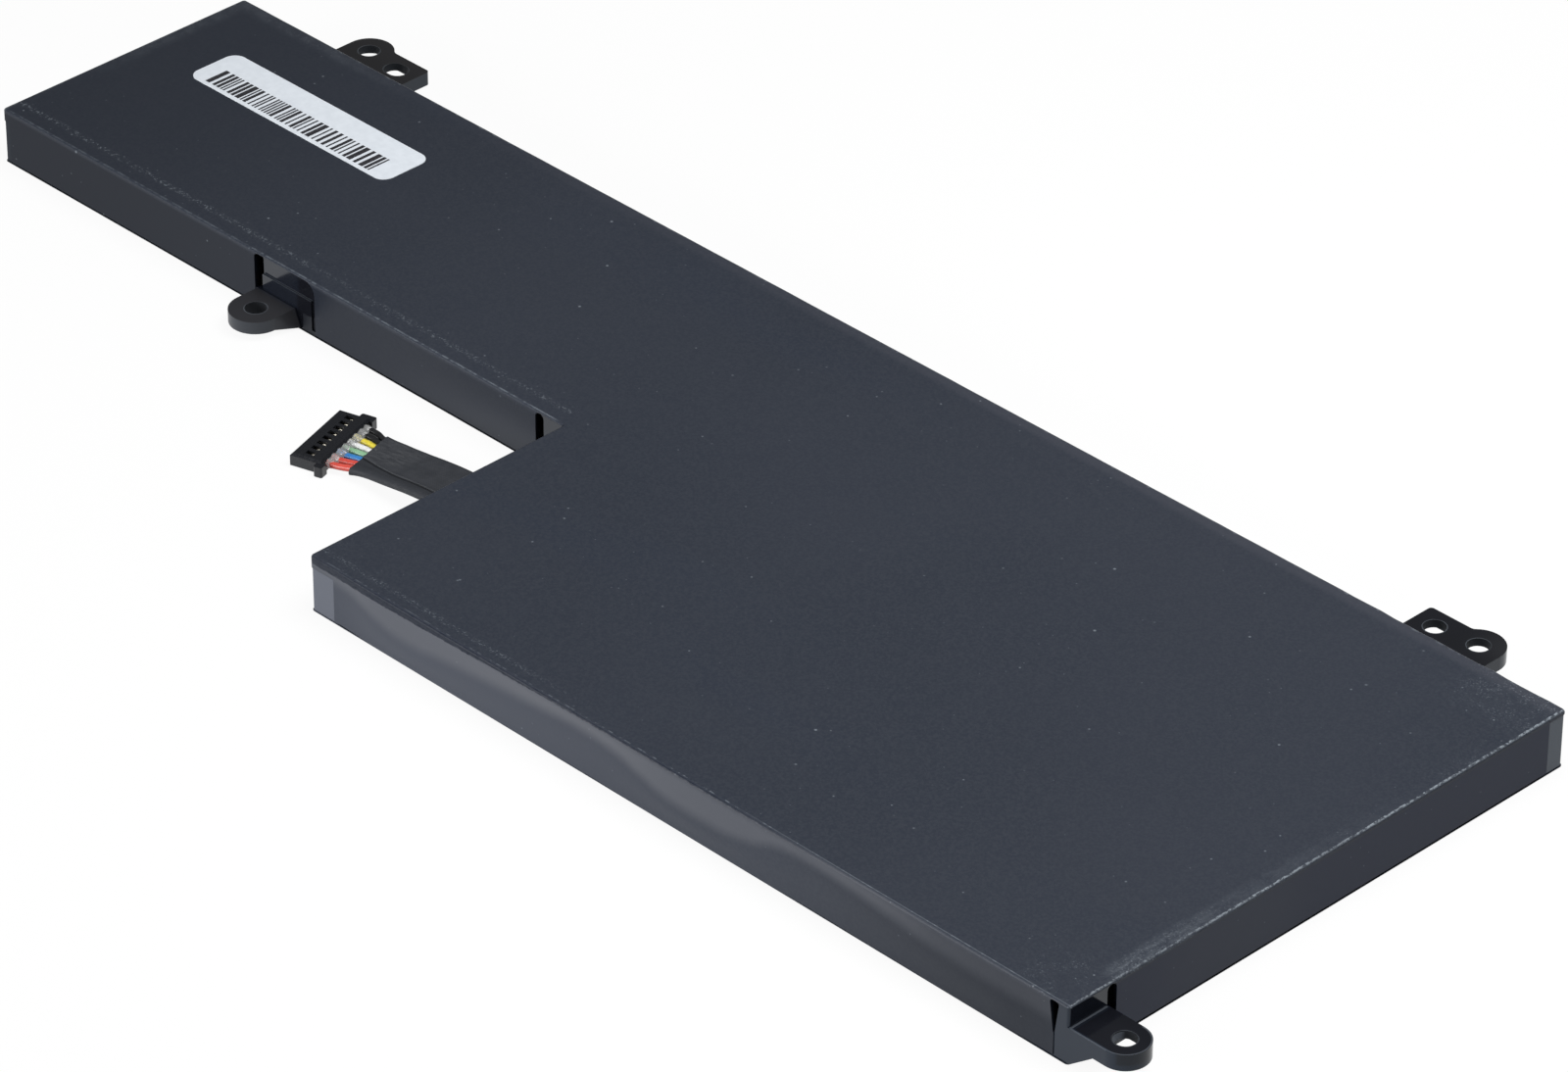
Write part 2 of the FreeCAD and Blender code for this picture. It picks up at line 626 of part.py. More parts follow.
def make_link_circuit():
    """A flat circuit along both rows of tabs that climbs to the board's underside."""
    z0, z1 = TAB_TOP, FLEX_TOP
    half = FLEX_WIDTH / 2
    back_row, front_row = flex_middle(-1), flex_middle(1)
    reach = TAB_OFFSET + TAB_WIDTH / 2 + FLEX_OVERRUN
    first = cell_x(0) + CELL_LENGTH / 2 - reach
    last = cell_x(3) + CELL_LENGTH / 2 + reach
    bridge = BAY_END_X - FLEX_WIDTH
    landing = BOARD_X + BOARD_WIDTH / 2
    return join([
        box(first, last, back_row - half, back_row + half, z0, z1),
        box(landing, last, front_row - half, front_row + half, z0, z1),
        box(bridge - FLEX_WIDTH / 2, bridge + FLEX_WIDTH / 2, front_row, back_row, z0, z1),
        box(landing, landing + FLEX, front_row - half, front_row + half, z0, BOARD_BASE),
        box(landing, landing + FLEX_WIDTH / 2, front_row - half, front_row + half,
            BOARD_BASE - FLEX, BOARD_BASE),
    ])


def make_weld_pads():
    pads = []
    for x, edge_y, way in tab_centres(1) + tab_centres(-1):
        y = flex_middle(way)
        pads.append(box(x - PAD_WIDTH / 2, x + PAD_WIDTH / 2, y - PAD_DEPTH / 2, y + PAD_DEPTH / 2,
                        FLEX_TOP, PAD_TOP))
    return pads


def make_tab_tapes():
    """A strip of tape over the tabs and weld pads of each cell."""
    tapes = []
    reach = TAB_OFFSET + TAB_WIDTH / 2
    for x, y, way in cell_places():
        middle = x + CELL_LENGTH / 2
        line = flex_middle(way)
        tapes.append(box(middle - reach, middle + reach, line - FLEX_WIDTH / 2, line + FLEX_WIDTH / 2,
                         PAD_TOP, PAD_TOP + TAB_TAPE))
    return tapes


def make_cell_tapes():
    """Two double-sided strips under each cell hold it to the bottom film."""
    tapes = []
    for x, y, way in cell_places():
        thick = CELL_DEPTH - TERRACE_WIDTH
        for near in (TAPE_INSET, thick - TAPE_INSET - TAPE_WIDTH):
            low, high = sorted((y + way * near, y + way * (near + TAPE_WIDTH)))
            tapes.append(box(x + TAPE_INSET, x + CELL_LENGTH - TAPE_INSET, low, high, FILM, CELL_BASE))
    return tapes


def make_sensor():
    """Temperature sensor on the link circuit, between two cells of the back row."""
    x = cell_x(2) - CELL_GAP / 2
    y = flex_middle(-1)
    return box(x - SENSOR_LENGTH / 2, x + SENSOR_LENGTH / 2, y - SENSOR_WIDTH / 2, y + SENSOR_WIDTH / 2,
               FLEX_TOP, FLEX_TOP + SENSOR_HEIGHT)


def make_board():
    """Protection board with rounded corners, lying on the ledges of its bay."""
    corners = rectangle(BOARD_X, BOARD_X + BOARD_WIDTH, BOARD_Y, BOARD_END_Y, 0.6)
    return plate(corners, BOARD_BASE, BOARD_TOP)


def chip(x, y, size, edge=0.12):
    """A small body on the board with chamfered top edges, placed by its low corner."""
    body = box(x, x + size[0], y, y + size[1], BOARD_TOP, BOARD_TOP + size[2])
    top = [e for e in body.Edges if at_height(BOARD_TOP + size[2])(e)]
    return body.makeChamfer(edge, top)


def board_parts():
    """The board's chips in a line along the bay, clear of the solder joints."""
    solder_front, solder_back = lead_span(0.0)
    x = BOARD_X + BOARD_CLEARANCE
    far_x = BOARD_X + BOARD_WIDTH - BOARD_CLEARANCE
    y = BOARD_Y + BOARD_CLEARANCE
    fuse = chip(far_x - FUSE_SIZE[0], y, FUSE_SIZE)
    switches = [chip(x, y + index * SWITCH_PITCH, SWITCH_SIZE) for index in range(4)]
    shunt = chip(far_x - SHUNT_SIZE[0], y + FUSE_SIZE[1] + 2 * SHUNT_SIZE[2], SHUNT_SIZE)
    gauge_y = y + FUSE_SIZE[1] + SHUNT_SIZE[1] + 2 * GAUGE_SIZE[2] + SHUNT_SIZE[2]
    gauge = chip(far_x - GAUGE_SIZE[0] + BOARD_CLEARANCE / 2, gauge_y + 2, GAUGE_SIZE)
    capacitors = [
        chip(far_x - CAPACITOR_SIZE[0] - row * CAPACITOR_PITCH, solder_back - index * 2 * CAPACITOR_PITCH,
             CAPACITOR_SIZE)
        for row in range(2) for index in range(3)
    ]
    return fuse, switches, shunt, gauge, capacitors


def make_paper():
    """Insulating paper over the board, resting on its tallest part."""
    z = BOARD_TOP + FUSE_SIZE[2]
    return box(BOARD_X, BOARD_X + BOARD_WIDTH, BOARD_Y, BOARD_END_Y, z, z + PAPER)


def make_foam():
    """Foam strip that fills the space between the paper and the top film."""
    middle = BOARD_X + BOARD_WIDTH / 2
    base = BOARD_TOP + FUSE_SIZE[2] + PAPER
    corners = rectangle(middle - FOAM_WIDTH / 2, middle + FOAM_WIDTH / 2, BOARD_Y, BOARD_END_Y, 0.8)
    return plate(corners, base, FRAME_TOP)


def make_solder():
    """Solder joints in line with the wires' ends."""
    joints = []
    for index in range(len(WIRES)):
        y = LEAD_Y + (index - PLUG_MIDDLE) * WIRE_PITCH
        corners = [
            (WIRE_START_X, BOARD_TOP, 0), (WIRE_START_X + SOLDER_LENGTH, BOARD_TOP, 0),
            (WIRE_START_X + SOLDER_LENGTH / 2, BOARD_TOP + 1.6 * WIRE_RADIUS, 0),
            (WIRE_START_X, BOARD_TOP + 1.8 * WIRE_RADIUS, 0),
        ]
        joints.append(front_plate(corners, y - SOLDER_WIDTH / 2, y + SOLDER_WIDTH / 2))
    return joints


def plug_point(u, v, z):
    """A point in the plug's own frame: u back from its front face, v across it."""
    angle = math.radians(PLUG_ANGLE)
    x = PLUG_X + u * math.cos(angle) - v * math.sin(angle)
    y = PLUG_Y + u * math.sin(angle) + v * math.cos(angle)
    return FreeCAD.Vector(x, y, z)


def place_plug(shape):
    shape.rotate(FreeCAD.Vector(0, 0, 0), FreeCAD.Vector(0, 0, 1), PLUG_ANGLE)
    shape.translate(FreeCAD.Vector(PLUG_X, PLUG_Y, 0))
    return shape


def terminal_v(index):
    return (index - PLUG_MIDDLE) * TERMINAL_PITCH


def sleeve_height(x):
    """Height of the lead's middle along its last straight run in the sleeve."""
    (out_0, drop_0), (out_1, drop_1) = LEAD_ROUTE[-1], LEAD_TURN
    slope = (drop_1 - drop_0) / (out_1 - out_0)
    return WIRE_BASE_Z - drop_0 - slope * (ARM_LENGTH - x - out_0)


def wire_route(index):
    """Points from the solder joint, through the step wall and down to the plug's cavity."""
    y = LEAD_Y + (index - PLUG_MIDDLE) * WIRE_PITCH
    skew = -terminal_v(index) * math.sin(math.radians(PLUG_ANGLE))
    points = [FreeCAD.Vector(WIRE_START_X, y, WIRE_BASE_Z)]
    points += [FreeCAD.Vector(ARM_LENGTH - out, y, WIRE_BASE_Z - drop) for out, drop in LEAD_ROUTE]
    turn_x = ARM_LENGTH - LEAD_TURN[0] + skew
    points.append(FreeCAD.Vector(turn_x, y, sleeve_height(turn_x)))
    points.append(plug_point(PLUG_DEPTH + PLUG_STRAIGHT, terminal_v(index), PLUG_HEIGHT / 2))
    points.append(plug_point(TERMINAL_END, terminal_v(index), PLUG_HEIGHT / 2))
    return points


def rounded_path(points):
    """Straight runs joined by tangent arcs; also gives the smallest arc radius."""
    edges = []
    radii = []
    leave = points[0]
    for before, point, after in zip(points, points[1:], points[2:]):
        back = before - point
        ahead = after - point
        reach = ROUTE_SHARE * min(back.Length, ahead.Length)
        back.normalize()
        ahead.normalize()
        half_turn = (math.pi - back.getAngle(ahead)) / 2
        radius = reach / math.tan(half_turn)
        start = point + back * reach
        end = point + ahead * reach
        centre = point + (back + ahead).normalize() * (radius / math.cos(half_turn))
        middle = centre + (point - centre).normalize() * radius
        edges.append(Part.LineSegment(leave, start).toShape())
        edges.append(Part.Arc(start, middle, end).toShape())
        radii.append(radius)
        leave = end
    edges.append(Part.LineSegment(leave, points[-1]).toShape())
    return Part.Wire(edges), min(radii)


def make_wire(index):
    path, tightest = rounded_path(wire_route(index))
    start, ahead = wire_route(index)[:2]
    ring = Part.Wire(Part.makeCircle(WIRE_RADIUS, start, ahead - start))
    tube = path.makePipeShell([ring], True, True)
    share = tube.Volume / (math.pi * WIRE_RADIUS ** 2 * path.Length)
    print(f"wire_{WIRES[index]} length {path.Length:.1f} tightest radius {tightest:.1f}", end=" ")
    print(f"volume share {share:.4f}")
    return tube


def make_sleeve():
    """Flat sleeve round the wires, its end cut at the plug's angle."""
    inner_half = WIRE_RADIUS + SLEEVE_CLEARANCE
    outer_half = inner_half + SLEEVE_WALL
    inner_span = lead_span(SLEEVE_CLEARANCE)
    outer_span = lead_span(SLEEVE_CLEARANCE + SLEEVE_WALL)
    line = [(point.x, point.z) for point in wire_route(0)[:4]]
    lean = math.tan(math.radians(PLUG_ANGLE)) * (outer_span[1] - outer_span[0]) / 2
    near = ARM_LENGTH - SLEEVE_END
    far_x = near - 2 * lean
    line.append((far_x, sleeve_height(far_x)))

    def band(half, span):
        route = [FreeCAD.Vector(x, span[0], z) for x, z in line]
        path, _ = rounded_path(route)
        ring = Part.makePolygon([
            route[0] + FreeCAD.Vector(0, 0, -half), route[0] + FreeCAD.Vector(0, span[1] - span[0], -half),
            route[0] + FreeCAD.Vector(0, span[1] - span[0], half), route[0] + FreeCAD.Vector(0, 0, half),
            route[0] + FreeCAD.Vector(0, 0, -half)])
        return path.makePipeShell([ring], True, True)

    outside = band(outer_half, outer_span)
    inside = band(inner_half, inner_span)
    cut = plate([
        (near + lean, outer_span[0], 0), (STEP_WALL_X, outer_span[0], 0),
        (STEP_WALL_X, outer_span[1], 0), (near - lean, outer_span[1], 0)], 0.0, PACK_HEIGHT)
    return outside.cut(inside).common(cut)


def make_plug_housing():
    """Flat plug body with an ear at each end of its back, eight cavities and their top windows."""
    half = PLUG_WIDTH / 2
    body = box(0, PLUG_DEPTH, -half, half, 0, PLUG_HEIGHT)
    top_edges = [e for e in body.Edges if at_height(PLUG_HEIGHT)(e)]
    body = body.makeChamfer(PLUG_CHAMFER, top_edges)
    ears = []
    for side, start in PLUG_EAR_STARTS.items():
        root, tip = side * (half - PLUG_EAR_ROOT), side * (half + PLUG_EAR_WIDTH)
        corners = [(start, root, 0), (start, tip, 0.3), (PLUG_EAR_END, tip, 0.3), (PLUG_EAR_END, root, 0)]
        ears.append(plate(corners, 0, PLUG_HEIGHT - PLUG_CHAMFER))
    body = join([body] + ears)
    low = (PLUG_HEIGHT - CAVITY) / 2
    cuts = []
    for index in range(len(WIRES)):
        v = terminal_v(index)
        cuts.append(box(CAVITY_END, PLUG_DEPTH + OVER, v - CAVITY / 2, v + CAVITY / 2, low, low + CAVITY))
        left, right = v - WINDOW_WIDTH / 2, v + WINDOW_WIDTH / 2
        cuts.append(box(WINDOW_START, WINDOW_START + WINDOW_LENGTH, left, right, low, PLUG_HEIGHT + OVER))
        cuts.append(box(-OVER, CAVITY_END + OVER, left, right,
                        low + (CAVITY - WINDOW_WIDTH) / 2, low + (CAVITY + WINDOW_WIDTH) / 2))
    return place_plug(body.cut(cuts))


def make_terminals():
    """Crimped box terminals on the floors of the cavities, meeting the wires' ends."""
    floor = (PLUG_HEIGHT - CAVITY) / 2
    terminals = []
    for index in range(len(WIRES)):
        v = terminal_v(index)
        body = box(CAVITY_END, TERMINAL_END, v - TERMINAL_WIDTH / 2, v + TERMINAL_WIDTH / 2,
                   floor, floor + TERMINAL_HEIGHT)
        mouth = box(CAVITY_END - OVER, WINDOW_START, v - TERMINAL_WIDTH / 4, v + TERMINAL_WIDTH / 4,
                    floor + TERMINAL_HEIGHT / 4, floor + 3 * TERMINAL_HEIGHT / 4)
        terminals.append(place_plug(body.cut(mouth)))
    return terminals


def make_glue(wires):
    """Clear glue round the wires where they enter the plug."""
    half = PLUG_MIDDLE * TERMINAL_PITCH + WIRE_RADIUS + GLUE_OVERHANG
    base = (PLUG_HEIGHT - GLUE_HEIGHT) / 2
    lump = box(PLUG_DEPTH, PLUG_DEPTH + GLUE_DEPTH, -half, half, base, base + GLUE_HEIGHT)
    rear = [e for e in lump.Edges if all(abs(v.X - PLUG_DEPTH - GLUE_DEPTH) < 1e-5 for v in e.Vertexes)]
    lump = lump.makeFillet(GLUE_HEIGHT / 5, rear)
    return place_plug(lump).cut(wires)


def make_label():
    corners = rectangle(LABEL_END, LABEL_END + LABEL_LENGTH, PACK_WIDTH - LABEL_BACK - LABEL_WIDTH,
                        PACK_WIDTH - LABEL_BACK, LABEL_RADIUS)
    return plate(corners, PACK_HEIGHT, PACK_HEIGHT + LABEL_THICKNESS)


def make_nodes():
    fuse, switches, shunt, gauge, capacitors = board_parts()
    wires = [make_wire(index) for index in range(len(WIRES))]
    nodes = {
        "frame": [make_frame()],
        "top_film": [make_top_film()],
        "bottom_film": [make_bottom_film()],
        "cell_tapes": make_cell_tapes(),
        "positive_tabs": [make_tab(*place) for place in tab_centres(1)],
        "negative_tabs": [make_tab(*place) for place in tab_centres(-1)],
        "link_circuit": [make_link_circuit()],
        "weld_pads": make_weld_pads(),
        "tab_tapes": make_tab_tapes(),
        "temperature_sensor": [make_sensor()],
        "board": [make_board()],
        "fuse": [fuse],
        "power_switches": switches,
        "sense_resistor": [shunt],
        "gauge_chip": [gauge],
        "capacitors": capacitors,
        "solder_joints": make_solder(),
        "insulation_paper": [make_paper()],
        "foam_strip": [make_foam()],
        "cable_sleeve": [make_sleeve()],
        "plug_housing": [make_plug_housing()],
        "plug_terminals": make_terminals(),
        "plug_glue": [make_glue(wires)],
        "barcode_label": [make_label()],
    }
    for number, place in enumerate(cell_places(), start=1):
        nodes[f"cell_{number}"] = [make_cell(*place)]
    for name, wire in zip(WIRES, wires):
        nodes[f"wire_{name}"] = [wire]
    return nodes


def main():
    os.makedirs("parts", exist_ok=True)
    reach_x = PACK_LENGTH + CORNER_LUG_REACH + CORNER_LUG_RADIUS
    reach_y = PACK_WIDTH + BACK_LUG_OUTER_REACH + BACK_LUG_LOBE_RADIUS
    home = FreeCAD.Vector(-reach_x / 2, -reach_y / 2, 0)
    for name, solids in make_nodes().items():
        shape = solids[0] if len(solids) == 1 else Part.makeCompound(solids)
        shape.translate(home)
        shape.exportStep(f"parts/{name}.step")
        print(f"{name}: {len(shape.Solids)} solid(s), {shape.Volume:.1f} mm3, valid {shape.isValid()}")


main()
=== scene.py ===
import bpy
import bmesh
import json
import math
import random
from mathutils import Matrix, Vector, noise
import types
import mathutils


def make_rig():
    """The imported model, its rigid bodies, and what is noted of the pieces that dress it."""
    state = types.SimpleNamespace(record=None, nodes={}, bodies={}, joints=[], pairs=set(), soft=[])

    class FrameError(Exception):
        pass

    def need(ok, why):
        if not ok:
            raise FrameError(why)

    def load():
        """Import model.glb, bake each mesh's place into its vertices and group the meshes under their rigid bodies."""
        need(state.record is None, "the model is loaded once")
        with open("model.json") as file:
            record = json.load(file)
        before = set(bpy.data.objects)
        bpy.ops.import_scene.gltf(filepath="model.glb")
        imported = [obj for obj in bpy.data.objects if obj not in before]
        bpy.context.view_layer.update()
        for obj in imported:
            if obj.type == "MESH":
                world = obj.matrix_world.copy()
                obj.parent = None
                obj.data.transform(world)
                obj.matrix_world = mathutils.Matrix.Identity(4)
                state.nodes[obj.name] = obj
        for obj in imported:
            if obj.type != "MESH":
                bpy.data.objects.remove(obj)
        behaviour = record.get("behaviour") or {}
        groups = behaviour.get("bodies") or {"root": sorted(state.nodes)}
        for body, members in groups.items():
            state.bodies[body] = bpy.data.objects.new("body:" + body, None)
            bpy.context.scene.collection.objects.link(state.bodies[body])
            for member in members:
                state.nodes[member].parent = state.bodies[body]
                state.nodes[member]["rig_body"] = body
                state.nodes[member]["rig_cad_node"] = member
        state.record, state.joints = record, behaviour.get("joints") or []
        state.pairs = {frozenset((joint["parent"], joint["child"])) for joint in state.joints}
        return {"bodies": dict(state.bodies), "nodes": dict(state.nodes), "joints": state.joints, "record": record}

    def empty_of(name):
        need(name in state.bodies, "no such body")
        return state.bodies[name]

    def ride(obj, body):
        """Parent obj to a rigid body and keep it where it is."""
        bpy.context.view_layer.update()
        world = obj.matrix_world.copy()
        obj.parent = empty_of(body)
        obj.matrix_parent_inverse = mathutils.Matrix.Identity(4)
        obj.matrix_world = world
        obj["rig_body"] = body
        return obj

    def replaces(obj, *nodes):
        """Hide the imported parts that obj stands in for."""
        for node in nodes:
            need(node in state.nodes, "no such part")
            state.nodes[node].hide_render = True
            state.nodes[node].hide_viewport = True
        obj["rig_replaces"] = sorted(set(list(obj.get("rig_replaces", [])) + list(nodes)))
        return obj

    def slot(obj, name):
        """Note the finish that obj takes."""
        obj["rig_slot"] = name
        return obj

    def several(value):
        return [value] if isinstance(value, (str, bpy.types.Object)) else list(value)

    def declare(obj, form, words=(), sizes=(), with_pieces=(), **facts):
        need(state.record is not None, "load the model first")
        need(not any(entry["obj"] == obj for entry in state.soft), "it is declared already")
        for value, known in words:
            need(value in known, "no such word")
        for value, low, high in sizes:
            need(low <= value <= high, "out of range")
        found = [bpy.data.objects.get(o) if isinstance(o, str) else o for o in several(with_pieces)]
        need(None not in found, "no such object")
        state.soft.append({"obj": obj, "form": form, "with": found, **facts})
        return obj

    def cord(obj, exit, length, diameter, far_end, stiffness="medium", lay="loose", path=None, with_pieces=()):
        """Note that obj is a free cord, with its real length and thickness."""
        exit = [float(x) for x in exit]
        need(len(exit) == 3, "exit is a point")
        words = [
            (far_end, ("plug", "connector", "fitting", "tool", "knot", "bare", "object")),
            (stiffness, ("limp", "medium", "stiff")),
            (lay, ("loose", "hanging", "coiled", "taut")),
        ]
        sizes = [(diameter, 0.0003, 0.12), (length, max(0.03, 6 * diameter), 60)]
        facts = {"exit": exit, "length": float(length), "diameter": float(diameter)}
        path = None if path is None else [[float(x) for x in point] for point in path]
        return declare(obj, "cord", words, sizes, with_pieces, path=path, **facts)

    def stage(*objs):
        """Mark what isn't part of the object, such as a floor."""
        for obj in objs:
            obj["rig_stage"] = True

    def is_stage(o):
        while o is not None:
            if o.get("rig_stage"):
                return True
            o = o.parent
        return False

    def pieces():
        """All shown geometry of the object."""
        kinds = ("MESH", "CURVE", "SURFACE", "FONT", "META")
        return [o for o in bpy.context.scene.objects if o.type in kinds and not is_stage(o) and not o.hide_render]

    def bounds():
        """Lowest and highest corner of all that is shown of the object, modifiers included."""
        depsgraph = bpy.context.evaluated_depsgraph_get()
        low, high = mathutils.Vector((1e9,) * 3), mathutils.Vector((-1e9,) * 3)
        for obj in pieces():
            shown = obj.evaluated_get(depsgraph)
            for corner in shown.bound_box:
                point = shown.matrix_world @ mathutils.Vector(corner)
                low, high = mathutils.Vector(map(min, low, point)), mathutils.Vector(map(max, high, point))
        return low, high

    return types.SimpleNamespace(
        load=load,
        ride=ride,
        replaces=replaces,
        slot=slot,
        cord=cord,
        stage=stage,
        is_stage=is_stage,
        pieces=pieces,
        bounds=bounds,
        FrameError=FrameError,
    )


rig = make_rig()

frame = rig.load()
cad_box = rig.bounds()
nodes = frame["nodes"]

# Sizes of the pack in millimetres, counted from the arm's end, the front edge and the base
PACK_LENGTH = 268.0
PACK_WIDTH = 95.6
PACK_HEIGHT = 9.1
ARM_LENGTH = 123.3
ARM_WIDTH = 48.1
STEP_Y = PACK_WIDTH - ARM_WIDTH
ARM_LUG_TOP = 3.2
ARM_PAD_TOP = 5.7
BACK_LUG_TOP = 6.0
CORNER_LUG_TOP = 5.8
CORNER_LUG_RADIUS = 3.55

# Where the origin of the shared frame lies in the pack
HOME = Vector((138.925, 53.05, 0.0))

# Middles of the round holes in the lugs, and of the ends of the one slot
CORNER_LUG_HOLE = (274.3, 3.67)
LUG_HOLES = [
    (21.25, 102.2), (246.75, 102.2), (28.05, 101.3), (28.75, 101.3), (239.6, 101.3), (62.2, 43.35),
    CORNER_LUG_HOLE,
]

# Along the front edge, the lower edge of the band where the film slopes out from its fold, and the strength of the
# highlight painted on that band
FRONT_SLACK = [
    (123.3, 7.2), (128.0, 7.0), (131.0, 6.8), (134.0, 6.1), (138.0, 5.1), (143.0, 4.5), (150.0, 5.1),
    (160.0, 6.0), (170.0, 6.8), (178.0, 7.3), (184.0, 6.9), (190.0, 5.6), (196.0, 4.6), (202.0, 4.5),
    (210.0, 5.4), (220.0, 7.8), (228.0, 7.6), (236.0, 6.9), (246.0, 6.1), (256.0, 6.0), (268.0, 5.6),
]
FRONT_HIGHLIGHT = [
    (123.3, 0.62), (130.0, 0.80), (138.0, 0.72), (160.0, 0.86), (178.0, 1.00), (186.0, 0.86), (196.0, 0.66),
    (210.0, 0.62), (222.0, 0.74), (232.0, 0.58), (240.0, 0.40), (248.0, 0.26), (268.0, 0.22),
]

# Line across the lead's sleeve where its cloth overlaps
SLEEVE_SEAM = [(98.0, 29.6), (101.3, 29.1), (107.6, 28.2), (115.0, 28.0), (125.0, 28.0)]

# Tones of the film
FILM_DARK = (0.0262, 0.0316, 0.0445)
FILM_LIGHT = (0.0300, 0.0354, 0.0490)
FILM_BLUE_BAND = (0.0240, 0.0318, 0.0510)
FILM_GRAIN = (0.044, 0.050, 0.063)
# Painted highlight along the fold of the back edge
BACK_FOLD_HIGHLIGHT = (0.074, 0.077, 0.094)
# Painted shade on the edge over the step
STEP_EDGE_SHADE = (0.006, 0.008, 0.013)
# Painted shade towards the arm's end
ARM_END_SHADE = (0.018, 0.0215, 0.030)
# Painted light on the front side, strongest at its left
FRONT_PAINTED_LIGHT = (0.068, 0.076, 0.098)
# Painted shade on the front side towards its right
FRONT_PAINTED_SHADE = (0.010, 0.0125, 0.018)
# Painted shade on the right side, darker and bluer than the top
RIGHT_SIDE_SHADE = (0.020, 0.027, 0.050)
# Painted reflection: a cloudy lighter patch on the right side
RIGHT_SIDE_REFLECTION = (0.050, 0.058, 0.074)
# Painted shade on the arm's side, deeper towards its end
ARM_SIDE_SHADE = (0.005, 0.0075, 0.014)
# Painted light on the arm's side near the step, more towards its foot
ARM_SIDE_PAINTED_LIGHT = (0.050, 0.055, 0.066)
# Painted shadow along the foot of the sides
SOLE_SHADOW = (0.002, 0.003, 0.006)
# Painted highlight on the slack front band
SLACK_HIGHLIGHT = (0.112, 0.118, 0.136)
# Painted shade on the rounded fold above the front
FOLD_SHADE = (0.009, 0.013, 0.024)
WORN_WHITE = (0.30, 0.34, 0.38)

# Dust on the film: size of its cells, radius of a speck, seed and strength
DUST = [(5.0, 0.17, 1.0, 0.46), (3.4, 0.13, 2.0, 0.34), (2.0, 0.08, 6.0, 0.24)]

# Tones of the frame
FRAME_DARK = (0.0060, 0.0066, 0.0095)
FRAME_LIGHT = (0.0088, 0.0094, 0.0130)
ARM_LUG_FLAT = (0.0285, 0.0285, 0.0320)
ARM_LUG_SIDE = (0.040, 0.043, 0.050)
# Painted reflection of the table on the bare strip at the step's front
FRONT_STRIP_REFLECTION = (0.105, 0.114, 0.142)
# Painted reflection of the table on the bare strip at the far right corner
RIGHT_STRIP_REFLECTION = (0.066, 0.082, 0.106)
BARE_END = (0.004, 0.006, 0.011)
BACK_LUG_SIDE = (0.024, 0.029, 0.038)
LEFT_LUG_FLAT = (0.0205, 0.0200, 0.0215)
RIGHT_LUG_FLAT = (0.0100, 0.0105, 0.0135)
RIGHT_LUG_LOBE = (0.021, 0.0215, 0.024)
# Painted shade inside the bores
BORE_SHADE = (0.004, 0.0045, 0.006)
BORE_LIT = (0.210, 0.235, 0.280)
LUG_SIDE_BLUE = (0.014, 0.019, 0.030)
WALL_BLUE = (0.020, 0.028, 0.046)
EDGE_LIGHT = (0.16, 0.18, 0.21)
SPECK_GREY = (0.3, 0.3, 0.3)

# Tones of the lead's sleeve
CLOTH_DARK = (0.026, 0.029, 0.035)
CLOTH_LIGHT = (0.036, 0.039, 0.046)
CLOTH_THREAD = (0.046, 0.049, 0.056)
CLOTH_RUBBED = (0.085, 0.088, 0.095)
CLOTH_BELOW = (0.018, 0.020, 0.025)
# Painted shadow beside the overlapped edge of the cloth
SEAM_SHADOW = (0.004, 0.005, 0.007)
CLOTH_DUST = (0.4, 0.41, 0.43)

# Plain finishes: darker and lighter tone, roughness, size of the grain and relief in millimetres, metal
PLAIN_FINISHES = {
    "pouch": ((0.55, 0.56, 0.58), (0.66, 0.67, 0.69), 0.35, 0.6, 0.01, 1.0),
    "nickel": ((0.58, 0.56, 0.52), (0.68, 0.66, 0.62), 0.35, 0.3, 0.005, 1.0),
    "tab": ((0.75, 0.75, 0.77), (0.85, 0.85, 0.87), 0.4, 0.3, 0.005, 1.0),
    "solder": ((0.6, 0.6, 0.6), (0.75, 0.75, 0.75), 0.28, 0.3, 0.01, 1.0),
    "gold": ((0.78, 0.60, 0.26), (0.86, 0.68, 0.34), 0.25, 0.2, 0.003, 1.0),
    "tape": ((0.68, 0.68, 0.64), (0.76, 0.76, 0.73), 0.6),
    "amber": ((0.36, 0.15, 0.02), (0.48, 0.22, 0.03), 0.3),
    "board": ((0.012, 0.09, 0.035), (0.02, 0.13, 0.05), 0.35, 0.8),
    "chip": ((0.014, 0.014, 0.016), (0.024, 0.024, 0.026), 0.5, 0.1),
    "ceramic": ((0.30, 0.2, 0.11), (0.4, 0.28, 0.16), 0.5, 0.2),
    "paper": ((0.4, 0.42, 0.35), (0.5, 0.52, 0.44), 0.8, 0.3),
    "foam": ((0.015, 0.015, 0.015), (0.035, 0.035, 0.035), 0.9, 0.25, 0.1),
    "plug": ((0.0058, 0.0066, 0.0095), (0.0102, 0.0114, 0.0150), 0.27, 0.25, 0.012),
    "label": ((0.75, 0.80, 0.86), (0.80, 0.85, 0.91), 0.45, 1.2, 0.003),
    # The tangs come in two copies of one metal: a pale one with a painted glint and a dark one in painted shade
    "tang": ((0.94, 0.86, 0.66), (1.0, 0.96, 0.84), 0.25, 0.2, 0.003),
    "dull_tang": ((0.24, 0.22, 0.18), (0.40, 0.37, 0.30), 0.35, 0.2, 0.003, 0.2),
    "ink": ((0.012, 0.012, 0.016), (0.03, 0.03, 0.036), 0.5, 0.3, 0.002),
}
GLUE_DARK = (0.66, 0.67, 0.67)
GLUE_LIGHT = (0.90, 0.91, 0.91)

